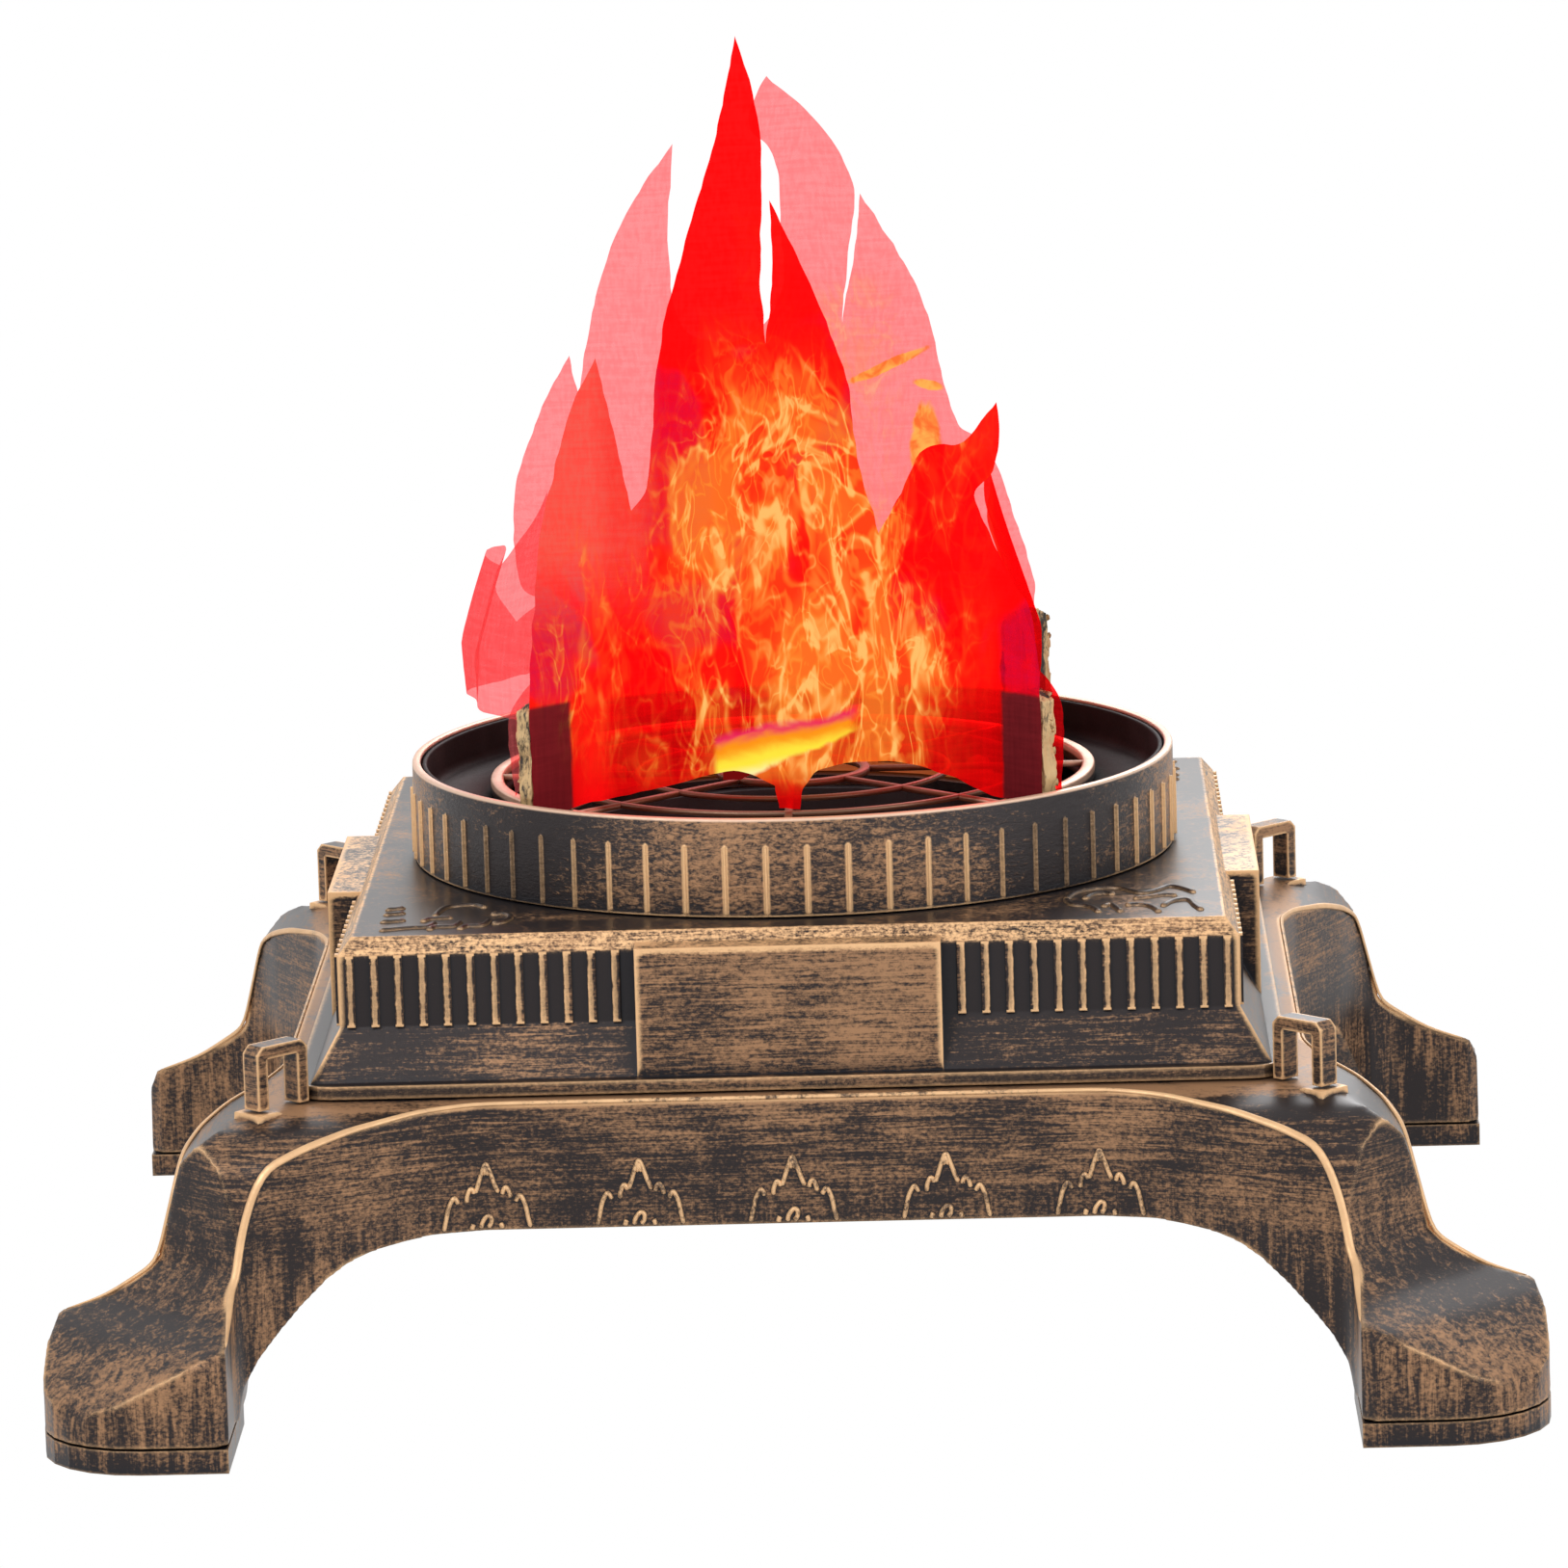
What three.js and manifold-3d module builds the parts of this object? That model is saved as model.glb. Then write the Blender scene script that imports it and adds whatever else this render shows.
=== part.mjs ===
// Silk flame effect light: a square bronze-look stand on four splayed legs, a ribbed fire bowl
// with a round guard, and silk flames that a fan under the guard blows upwards.
// Millimetres, +Z up. The origin is on the floor under the middle of the lamp and -Y is the front.

import * as THREE from 'three';
import { mergeVertices } from 'three/addons/utils/BufferGeometryUtils.js';
import Module from 'manifold-3d';

const wasm = await Module();
wasm.setup();

// Clearances
const SEAT = 0.3; // between two pieces that rest on each other
const OVERRUN = 1; // how far a cutter passes the face that it cuts
const MERGE = 0.0001; // corners closer than this are one corner

// Leg frame
const FOOT_SPAN = 241.2; // over the feet
const FOOT_SIZE = 30.8; // one foot, along a side
const FOOT_CORNER_R = 17;
const FOOT_EDGE = 2; // chamfer of a foot's inner edges
const PAD_HEIGHT = 3.9;
const PAD_PLUG = 3; // how far a pad reaches up into its leg
const FRAME_TOP = 51;
const APRON_MARGIN = 3.4; // from the deck's edge out to the set-back apron
const APRON_FLAT = 50; // half of the apron's straight stretch
const COVE_LANDING = 15.2; // from a foot's inner corner out to the end of the cove
const HIP_MARGIN = 11.6; // along a diagonal, from a loop to the flat strap of a hip
const TOE_INSET = 5.07; // along a diagonal, from a square foot's corner to the toe
const ARCH_HEIGHT = 29.8;
const FRAME_WALL = 2.2;

// Hanging loops
const LOOP_WIDTH = 10.6;
const LOOP_STRAP = 2.1;
const LOOP_DEPTH = 3.6;
const LOOP_HEIGHT = 10.4;
const LOOP_ROUND = 1.2; // chamfer of the loop's shoulders
const LOOP_MARGIN = 0.8; // from the deck's corner to the loop
const LOOP_SEAT_EDGE = 1.3; // how far the loop's seat shows round it
const LOOP_SEAT_DEPTH = 4.5; // height of the seat's block

// Housing
const DECK_HALF = 80.6;
const DECK_CORNER_R = 6.5;
const DECK_THICK = 2.1;
const SKIRT_MARGIN = 2.7; // from the deck's edge in to the skirt
const SKIRT_RUN = 4.8; // how far the skirt slopes in to the plinth
const BEVEL_RUN = 2.1; // how far the plinth slopes in to the crown
const SKIRT_HEIGHT = 8.3;
const FLUTE_HEIGHT = 11.8;
const BEVEL_HEIGHT = 2.7;
const HOUSING_WALL = 2.2;
const PANEL_HALF = 24.8;
const PANEL_SETBACK = 2.6; // from the deck's edge in to a panel
const PANEL_DROP = 1.7; // from the housing's top down to a panel's top
const FLUTES = 12; // on each side of a panel
const FLUTE_WIDTH = 1.3;
const FLUTE_PROUD = 0.6;
const FLUTE_MARGIN = 3.2; // from the panel, and from the corner, to the nearest flute
const CROWN_LEDGE = 4.5; // how far the crown reaches in under the drum
const BOSS_R = 4.5;
const BOSS_INSET = 7.1; // from the plinth's corner, both ways

// Drum, bowl and guard
const DRUM_MARGIN = 6.5; // from the crown's edge in to the drum
const DRUM_HEIGHT = 16.3;
const DRUM_WALL = 1.4;
const DRUM_EDGE = 0.4; // chamfer of the rim
const DRUM_FLANGE_WIDTH = 4.6; // of the flange at the drum's foot
const DRUM_FLANGE_THICK = 2.2;
const DRUM_RIBS = 60;
const DRUM_RIB_WIDTH = 1;
const DRUM_RIB_PROUD = 0.5;
const DRUM_RIB_HEIGHT = 10.4;
const DRUM_RIB_START = 0.5;
const BOWL_WALL = 0.8;
const BOWL_DROP = 0.5; // from the drum's rim down to the bowl's edge
const BOWL_DEPTH = 6.3; // from the drum's rim down to the bowl's floor
const BOWL_FLOOR = 1.2;
const GUARD_MARGIN = 10.7; // from the bowl's wall in to the guard
const GUARD_LAP = 2.3; // how far the guard lies on the bowl's floor
const GUARD_BAND = 2.6; // width of the outer ring
const GUARD_HEIGHT = 2.6;
const GUARD_RING_WIDTH = 1.8;
const GUARD_SPOKE_WIDTH = 2;
const GUARD_HUB_R = 13.5;
const GUARD_SPOKES = 8;
const guardRingShares = [0.78, 0.517]; // middle rings, as shares of the outer one

// Stakes with the look of bark
const STAKE_THICK = 3.2;
const STAKE_HEIGHT = 22.2;
const STAKE_WAVE = 0.45; // how far the bark's edges wander
const stakeWaveShares = [0, 0.7, -0.4, 1, 0.2, -0.8, 0.5, 0]; // up one edge of a stake
const stakeTopShares = [0.93, 0.99, 1, 0.97, 0.9]; // height across a stake's broken top

// Silk
const SILK_THICK = 0.6;
const SILK_LAP = 5.8; // how far a panel reaches past its corner stakes, to either side
const SILK_HEIGHT = 124.9;
const SILK_GAP = 0.6; // from a stake's inner edge in to the panels
const SILK_CREST_DEPTH = 8.2; // from the middle of the lamp to the flame's tips
const SILK_BELLY = 3.5; // how far a panel bows outwards at its foot
const SILK_CORNER_REACH = 9; // how far a panel's edges follow the stakes outwards
const SILK_FREE_HEIGHT = 22.3; // height at which a panel leaves the stakes
const SILK_BLEND_HEIGHT = 28; // over which it straightens above them
const SILK_FOLD_DEPTH = 1.6; // depth of the standing folds
const SILK_FOLD_PITCH = 21;
const SILK_LEFT_BULGE = 15.3;
const SILK_RIGHT_BULGE = 5.5;
const SILK_BULGE_HEIGHT = 16.7; // over which a panel swells
const SILK_STEP = 7.6; // size of the sheet's facets
const FLAP_DEPTH = 12; // in front of the middle
const FLAP_HALF = 12.5;
const FLAP_HEIGHT = 12.4;

// Fan
const FAN_MARGIN = 4; // from the drum's flange in to the fan's corners
const FAN_HEIGHT = 25;
const FAN_CORNER_R = 5;
const FAN_RIM = 2; // from the side of the fan in to its duct
const FAN_DUCT_WALL = 1.8;
const FAN_FLANGE = 4;
const FAN_HOLE_INSET = 4.25;
const FAN_HOLE_R = 2.15;
const STRUT_WIDTH = 3;
const STRUT_THICK = 2;
const STRUTS = 4;
const MOTOR_R = 16.3;
const MOTOR_HEIGHT = 17.6;
const MOTOR_FLOOR = 1.3;
const BEARING_R = 3.4;
const SHAFT_R = 1.5;
const SHAFT_CLEARANCE = 0.3;
const HUB_R = 18.5;
const HUB_WALL = 1.6;
const HUB_CLEARANCE = 1; // above the frame's middle disc
const HUB_HEIGHT = 20;
const BLADES = 7;
const BLADE_CLEARANCE = 1.6; // from the blades' tips to the duct
const BLADE_ROOT_CHORD = 20;
const BLADE_TIP_CHORD = 25;
const BLADE_THICK = 1.5;
const BLADE_ROOT_PITCH = 44; // degrees from the plane of the fan
const BLADE_TIP_PITCH = 27;
const BLADE_STATIONS = 4;
const bladeSectionShares = [ // [along the chord, across its thickness]
  [-0.5, 0], [-0.2, -0.5], [0.25, -0.5], [0.5, 0], [0.25, 0.5], [-0.2, 0.5]
];

// Lamps
const LAMP_BOARD_WIDTH = 8;
const LAMP_BOARD_CLEARANCE = 0.5; // from the lamp board to the hole in the bowl's floor
const BOARD_THICK = 1.6;
const LAMPS = 12;
const LAMP_R = 2.5;
const LAMP_HEIGHT = 4.2;
const LENS_BAND = 3.6; // width of the clear ring that joins the lamps' domes
const LENS_THICK = 1;

// Chassis plate and driver board
const CHASSIS_CLEARANCE = 9.9; // from the plinth's inside to the chassis plate
const CHASSIS_LAP = 7; // how far the plate lies on the frame's ledge
const CHASSIS_THICK = 2;
const DRIVER_WIDTH = 52;
const DRIVER_MARGIN = 3.7; // from the plate's edge to the driver board
const DRIVER_CENTRE_X = 2;
const STANDOFF_R = 2;
const STANDOFF_HEIGHT = 3.7;
const CAPACITOR_R = 4;
const CAPACITOR_HEIGHT = 10;
const CHOKE_R = 5;
const CHOKE_HOLE_R = 2.2;
const CHOKE_HEIGHT = 5;
const CHIP_SIZE = 6;
const CHIP_HEIGHT = 1.8;
const BOARD_PART_GAP = 2; // from the board's end to its first part, and on to the second
const TERMINAL_WIDTH = 12;
const TERMINAL_DEPTH = 8;
const TERMINAL_HEIGHT = 8;

// Switch and power inlet in the rear panel
const SWITCH_X = -10.5;
const SWITCH_HALF_WIDTH = 9.8;
const SWITCH_HALF_HEIGHT = 6.7;
const SWITCH_DEPTH = 14;
const BEZEL_EDGE = 1.1;
const BEZEL_THICK = 1.7;
const ROCKER_HALF_WIDTH = 8.1;
const ROCKER_HALF_HEIGHT = 4.6;
const ROCKER_PROUD = 3.4; // from the pivot out to the rocker's raised edges
const ROCKER_VALLEY = 2.2; // from the pivot out to the middle of its face
const ROCKER_BACK = 3;
const ROCKER_SWEEP = 0.8; // room above and below the rocker for its corners to swing
const ROCKER_TILT = 7; // degrees, either way from level
const ROCKER_POCKET_DEPTH = 8.5;
const PIVOT_R = 1;
const PIVOT_SETBACK = 1.5; // pivot behind the panel's face
const PIVOT_LENGTH = 1; // beyond the rocker's end
const INLET_X = 12.5;
const INLET_FLANGE_R = 6.2;
const INLET_FLANGE_THICK = 1.7;
const INLET_BARREL_R = 4.9;
const INLET_DEPTH = 14;
const INLET_BORE_R = 3.2;
const INLET_BORE_DEPTH = 10;
const INLET_PIN_R = 1;
const INLET_NUT_R = 7.2;
const INLET_NUT_THICK = 2.2;

// Base cover
const COVER_THICK = 2.5;
const COVER_CLEARANCE = 0.5;
const COVER_LIFT = 3; // above the crown of the arches
const COVER_POST_INSET = 10.8; // from the inside of the aprons, both ways
const COVER_POST_R = 4;
const VENT_MARGIN = 1; // from the duct's line in to the vents
const VENT_WIDTH = 3.6;
const VENTS = 9;

// Screws
const SCREW_R = 1.5;
const SCREW_HEAD_R = 3;
const SCREW_HEAD = 2;
const SCREW_BITE = 7; // length in the piece that a screw holds
const SCREW_CHAMFER = 0.7;

// Smoothness
const FINE = 60;
const ROUND = 32;
const HIDDEN = 24; // round pieces inside the housing
const SMALL = 14;
const TINY = 8;
const FOOT_STEPS = 6; // round a foot's corner
const DECK_STEPS = 4; // round a corner of the deck
const FAN_STEPS = 3; // round a corner of the fan
const ARCH_STEPS = 10; // along half an arch

// Widths that follow from the sizes
const footHalf = FOOT_SPAN / 2;
const footInner = footHalf - FOOT_SIZE;
const apronHalf = DECK_HALF + APRON_MARGIN;
const apronInside = apronHalf - FRAME_WALL;
const coverPostPlace = apronInside - COVER_POST_INSET;
const skirtFootHalf = DECK_HALF - SKIRT_MARGIN;
const plinthHalf = skirtFootHalf - SKIRT_RUN;
const crownHalf = plinthHalf - BEVEL_RUN;
const panelReach = DECK_HALF - PANEL_SETBACK;
const bossPlace = plinthHalf - BOSS_INSET;
const drumR = crownHalf - DRUM_MARGIN;
const drumInnerR = drumR - DRUM_WALL;
const drumFlangeR = drumInnerR - DRUM_FLANGE_WIDTH;
const bowlR = drumInnerR - SEAT;
const bowlInnerR = bowlR - BOWL_WALL;
const guardR = bowlInnerR - GUARD_MARGIN;
const bowlHoleR = guardR - GUARD_LAP;
const stakeInner = guardR + SEAT + STAKE_WAVE;
const stakeOuter = bowlInnerR - SEAT - STAKE_WAVE;
const silkBaseDepth = stakeInner / Math.SQRT2 - SILK_GAP;
const silkHalf = silkBaseDepth + SILK_LAP;
const fanHalf = (drumFlangeR - FAN_MARGIN + (Math.SQRT2 - 1) * FAN_CORNER_R) / Math.SQRT2;
const ductR = fanHalf - FAN_RIM;
const fanHolePlace = fanHalf - FAN_HOLE_INSET;
const bladeR = ductR - BLADE_CLEARANCE;
const lampBoardR = bowlHoleR - LAMP_BOARD_CLEARANCE;
const lampBoardInnerR = lampBoardR - LAMP_BOARD_WIDTH;
const chassisHalf = plinthHalf - HOUSING_WALL - CHASSIS_CLEARANCE;
const ledgeOpeningHalf = chassisHalf - CHASSIS_LAP;
const chassisScrewPlace = (ledgeOpeningHalf + chassisHalf) / 2;
const ventFieldR = ductR - VENT_MARGIN;
const ventPitch = (2 * ventFieldR) / (VENTS + 1);

// Places along a diagonal
const toeReach = Math.SQRT2 * footHalf - TOE_INSET;
const deckCornerReach = Math.SQRT2 * DECK_HALF - (Math.SQRT2 - 1) * DECK_CORNER_R;
const loopReach = deckCornerReach + LOOP_MARGIN + LOOP_WIDTH / 2;
const hipReach = loopReach + LOOP_WIDTH / 2 + HIP_MARGIN;

// Heights that follow from the sizes
const frameBottom = PAD_HEIGHT + SEAT;
const housingFoot = FRAME_TOP + SEAT;
const deckTop = housingFoot + DECK_THICK;
const skirtTop = deckTop + SKIRT_HEIGHT;
const fluteTop = skirtTop + FLUTE_HEIGHT;
const housingTop = fluteTop + BEVEL_HEIGHT;
const drumFoot = housingTop + SEAT;
const drumTop = drumFoot + DRUM_HEIGHT;
const bowlFloor = drumTop - BOWL_DEPTH;
const guardTop = bowlFloor + SEAT + GUARD_HEIGHT;
const chassisTop = housingFoot + CHASSIS_THICK;
const fanFoot = chassisTop + SEAT;
const fanTop = fanFoot + FAN_HEIGHT;
const coverBottom = ARCH_HEIGHT + COVER_LIFT;
const coverTop = coverBottom + COVER_THICK;
const panelMiddle = (deckTop + housingTop - PANEL_DROP) / 2;

// Outlines, as shares of the sizes that they follow
const legProfileShares = [ // [from apron to toe, height under the frame's top]
  [1, 0], [0.995, 0.31], [0.956, 0.382], [0.89, 0.4275], [0.76, 0.47], [0.609, 0.502],
  [0.523, 0.56], [0.47, 0.647], [0.423, 0.784], [0.39, 0.863], [0.32, 0.92], [0.219, 0.961], [0, 1]
];
const hipProfileShares = [ // [from hip strap to toe, height]
  [1, 0], [0.984, 0.098], [0.904, 0.196], [0.728, 0.278], [0.545, 0.351], [0.247, 0.437],
  [0.038, 0.549], [0, 0.65], [0, 1]
];
const coveShares = [ // [along the apron to the leg, outwards]
  [0, 0], [0.25, 0.13], [0.45, 0.333], [0.68, 0.557], [0.87, 0.705], [0.96, 0.83], [1, 1]
];
const archShares = [ // [half width, height]
  [1, 0], [0.99, 0.302], [0.928, 0.57], [0.838, 0.84], [0.76, 0.955], [0.648, 1]
];
const frontFlameShares = [ // [half width, height], from the left foot clockwise
  [-0.998, 0.004], [-1, 0.155], [-0.981, 0.265], [-0.955, 0.358], [-0.905, 0.431], [-0.831, 0.517],
  [-0.721, 0.591], [-0.671, 0.516], [-0.59, 0.392], [-0.524, 0.429], [-0.486, 0.552],
  [-0.443, 0.64], [-0.4, 0.689], [-0.319, 0.775], [-0.217, 0.886], [-0.143, 1], [-0.062, 0.903],
  [-0.048, 0.797], [-0.064, 0.699], [-0.045, 0.605], [-0.014, 0.699], [-0.02, 0.789],
  [0.095, 0.709], [0.205, 0.622], [0.274, 0.547], [0.295, 0.483], [0.324, 0.423], [0.383, 0.355],
  [0.455, 0.397], [0.552, 0.457], [0.631, 0.466], [0.724, 0.468], [0.855, 0.518], [0.869, 0.478],
  [0.836, 0.429], [0.764, 0.399], [0.829, 0.343], [0.91, 0.289], [0.974, 0.25], [1, 0.155],
  [0.998, 0.014], [0.805, 0.007], [0.636, 0.036], [0.429, 0.058], [0.164, 0.056], [0.067, 0.031],
  [0.045, 0], [-0.038, 0], [-0.048, 0.032], [-0.217, 0.052], [-0.507, 0.03], [-0.84, 0.007]
];
const rearFlameShares = [
  [-0.998, 0.004], [-0.998, 0.155], [-1.13, 0.187], [-1.15, 0.264], [-1.117, 0.361],
  [-1.007, 0.46], [-0.879, 0.544], [-0.843, 0.483], [-0.826, 0.52], [-0.748, 0.637],
  [-0.617, 0.745], [-0.419, 0.838], [-0.455, 0.702], [-0.421, 0.584], [-0.271, 0.701],
  [-0.14, 0.822], [-0.033, 0.93], [0.174, 0.86], [0.302, 0.777], [0.274, 0.681], [0.24, 0.578],
  [0.298, 0.681], [0.331, 0.763], [0.469, 0.68], [0.579, 0.597], [0.65, 0.485], [0.681, 0.388],
  [0.755, 0.317], [0.831, 0.259], [0.976, 0.171], [0.998, 0.155], [0.998, 0.004], [0.476, 0.026],
  [0, 0.042], [-0.476, 0.026]
];
const sideFlameShares = [ // [half width from front to rear, height]
  [-0.998, 0.004], [-0.998, 0.14], [-0.81, 0.205], [-0.62, 0.285], [-0.52, 0.22], [-0.33, 0.25],
  [-0.1, 0.318], [0.05, 0.225], [0.28, 0.27], [0.5, 0.36], [0.66, 0.24], [0.95, 0.155],
  [0.998, 0.14], [0.998, 0.004], [0.6, 0.05], [0.2, 0.09], [-0.2, 0.09], [-0.6, 0.05]
];
const flapShares = [
  [-0.92, 0], [-0.92, 0.5], [0, 0.86], [1, 1], [0.84, 0.72], [0.32, 0.4], [-0.32, 0.18], [-0.68, 0]
];

// Materials
const finish = (color, roughness, metalness) =>
  new THREE.MeshStandardMaterial({ color, roughness, metalness });
const BRONZE = finish(0x4a3c34, 0.45, 0.4);
const BLACK = finish(0x1c181a, 0.6, 0);
const COPPER = finish(0xd9b49a, 0.4, 0.7);
const BARK = finish(0xb89058, 0.8, 0);
const FOOT_CAP = finish(0x40342d, 0.55, 0.4);
const RED_SILK = finish(0xe8141a, 0.8, 0);
const PINK_SILK = finish(0xff7d84, 0.8, 0);
const AMBER_SILK = finish(0xffa81e, 0.7, 0);
const DARK_PLASTIC = finish(0x222326, 0.5, 0);
const STEEL = finish(0xa8abb0, 0.35, 1);
const BRASS = finish(0xb89048, 0.4, 1);
const CIRCUIT = finish(0x1e5a38, 0.6, 0);
const LAMP_LENS = finish(0xfff0c8, 0.2, 0);

// A closed geometry as a solid for joining and cutting, with its faces turned outwards
function solid(geometry) {
  const bare = geometry.clone();
  bare.deleteAttribute('normal');
  bare.deleteAttribute('uv');
  const merged = mergeVertices(bare, MERGE);
  const places = merged.attributes.position.array;
  const corners = new Uint32Array(merged.index.array);
  if (signedVolume(places, corners) < 0) {
    for (let i = 0; i < corners.length; i += 3) {
      [corners[i], corners[i + 1]] = [corners[i + 1], corners[i]];
    }
  }
  return new wasm.Manifold(new wasm.Mesh({ numProp: 3, vertProperties: places, triVerts: corners }));
}

function signedVolume(places, corners) {
  const a = new THREE.Vector3();
  const b = new THREE.Vector3();
  const c = new THREE.Vector3();
  let volume = 0;
  for (let i = 0; i < corners.length; i += 3) {
    a.fromArray(places, corners[i] * 3);
    b.fromArray(places, corners[i + 1] * 3);
    c.fromArray(places, corners[i + 2] * 3);
    volume += a.dot(b.cross(c));
  }
  return volume;
}

function shell(body) {
  const mesh = body.getMesh();
  const geometry = new THREE.BufferGeometry();
  geometry.setAttribute('position', new THREE.BufferAttribute(mesh.vertProperties, 3));
  geometry.setIndex(new THREE.BufferAttribute(mesh.triVerts, 1));
  geometry.computeVertexNormals();
  return geometry;
}

const join = (bodies) => bodies.reduce((whole, body) => whole.add(body));
const common = (bodies) => bodies.reduce((whole, body) => whole.intersect(body));

// A body's copies, turned about Z by equal steps
function ring(body, count, start = 0) {
  const copies = [];
  for (let i = 0; i < count; i++) {
    copies.push(body.rotate([0, 0, start + (360 * i) / count]));
  }
  return copies;
}

const outline = (points) => new THREE.Shape(points.map(([x, y]) => new THREE.Vector2(x, y)));

// A prism of an outline in X and Y, from one height to another
function upright(points, from, to) {
  const geometry = new THREE.ExtrudeGeometry(outline(points), { depth: to - from, bevelEnabled: false });
  return geometry.translate(0, 0, from);
}

// A prism of an outline in X and Z, from -half to half along Y
function alongY(points, half) {
  const geometry = new THREE.ExtrudeGeometry(outline(points), { depth: 2 * half, bevelEnabled: false });
  return geometry.rotateX(Math.PI / 2).translate(0, half, 0);
}

// The same prism along X, its outline in Y and Z
const alongX = (points, half) => alongY(points, half).rotateZ(Math.PI / 2);

function box(x0, x1, y0, y1, z0, z1) {
  const geometry = new THREE.BoxGeometry(x1 - x0, y1 - y0, z1 - z0);
  return geometry.translate((x0 + x1) / 2, (y0 + y1) / 2, (z0 + z1) / 2);
}

// A solid of revolution about Z from a closed profile of [radius, height]
function turned(profile, segments) {
  const closed = [...profile, profile[0]].map(([r, z]) => new THREE.Vector2(r, z));
  return new THREE.LatheGeometry(closed, segments).rotateX(Math.PI / 2);
}

function rod(radius, z0, z1, segments, x = 0, y = 0) {
  const geometry = new THREE.CylinderGeometry(radius, radius, z1 - z0, segments);
  return geometry.rotateX(Math.PI / 2).translate(x, y, (z0 + z1) / 2);
}

// Half an outline and its mirror image in X
const mirrored = (half) => [...half, ...half.map(([x, y]) => [-x, y]).reverse()];

// A path moved sideways by a distance, to its left, with mitred corners
function offsetPath(points, distance, closed = false) {
  const count = points.length;
  const normalOf = (i, j) => {
    const dx = points[j][0] - points[i][0];
    const dy = points[j][1] - points[i][1];
    const length = Math.hypot(dx, dy);
    return [-dy / length, dx / length];
  };
  return points.map(([x, y], i) => {
    const hasBefore = closed || i > 0;
    const hasAfter = closed || i < count - 1;
    const before = hasBefore ? normalOf((i - 1 + count) % count, i) : normalOf(i, i + 1);
    const after = hasAfter ? normalOf(i, (i + 1) % count) : before;
    const mx = before[0] + after[0];
    const my = before[1] + after[1];
    const stretch = (2 * distance) / (mx * mx + my * my);
    return [x + mx * stretch, y + my * stretch];
  });
}

const scaled = (shares, x0, x1, z0, z1) =>
  shares.map(([s, t]) => [x0 + (x1 - x0) * s, z0 + (z1 - z0) * t]);

// A curve through the points of an outline, as so many straight steps
function curved(points, steps) {
  const curve = new THREE.SplineCurve(points.map(([x, y]) => new THREE.Vector2(x, y)));
  return curve.getPoints(steps).map((point) => [point.x, point.y]);
}

const smooth = (from, to, value) => {
  const t = Math.min(Math.max((value - from) / (to - from), 0), 1);
  return t * t * (3 - 2 * t);
};

// Leg frame

// The round outer corner of a foot, whose sides lie at a distance from the middle of the lamp
function footArc(side, radius) {
  const points = [];
  for (let i = 0; i <= FOOT_STEPS; i++) {
    const angle = (Math.PI / 2) * (i / FOOT_STEPS);
    points.push([
      side - radius + radius * Math.cos(angle),
      side - radius + radius * Math.sin(angle)
    ]);
  }
  return points;
}

function framePlan() {
  const cove = coveShares.map(([s, t]) => [
    apronHalf + (footInner + COVE_LANDING - apronHalf) * t,
    APRON_FLAT + (footInner - APRON_FLAT) * s
  ]);
  const foot = [
    [footHalf - FOOT_EDGE, footInner], [footHalf, footInner + FOOT_EDGE], ...footArc(footHalf, FOOT_CORNER_R)
  ];
  const rest = [[footInner + FOOT_EDGE, footHalf], [footInner, footHalf - FOOT_EDGE]];
  const side = [...cove, ...foot, ...rest];
  const back = cove.map(([x, y]) => [y, x]).reverse();
  const quarter = [...side, ...back];
  const plan = [];
  for (let k = 0; k < 4; k++) {
    const c = [1, 0, -1, 0][k];
    const s = [0, 1, 0, -1][k];
    quarter.forEach(([x, y]) => plan.push([c * x - s * y, s * x + c * y]));
  }
  return plan;
}

// The frame's outer form, or its hollow when inset by the wall
function frameForm(inset) {
  const bottom = inset ? frameBottom - OVERRUN : frameBottom;
  const top = FRAME_TOP - inset;
  const profile = (shares, near, far) => {
    const path = offsetPath(scaled(shares, near, far, 0, FRAME_TOP), inset);
    path[0][1] = bottom;
    path[path.length - 1][1] = top;
    return mirrored(path);
  };
  const leg = profile(legProfileShares, apronHalf, footHalf);
  const hip = profile(hipProfileShares, hipReach, toeReach);
  const diagonal = solid(alongY(hip, toeReach));
  return common([
    solid(alongY(leg, footHalf)),
    solid(alongX(leg, footHalf)),
    diagonal.rotate([0, 0, 45]),
    diagonal.rotate([0, 0, -45]),
    solid(upright(offsetPath(framePlan(), inset, true), bottom, top))
  ]);
}

function archPair(outset) {
  const half = footInner - SEAT;
  const path = offsetPath(curved(scaled(archShares, 0, half, 0, ARCH_HEIGHT), ARCH_STEPS), -outset);
  path[0][1] = -OVERRUN;
  const profile = mirrored(path);
  return join([
    solid(alongY(profile, footHalf + OVERRUN)),
    solid(alongX(profile, footHalf + OVERRUN))
  ]);
}

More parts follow.
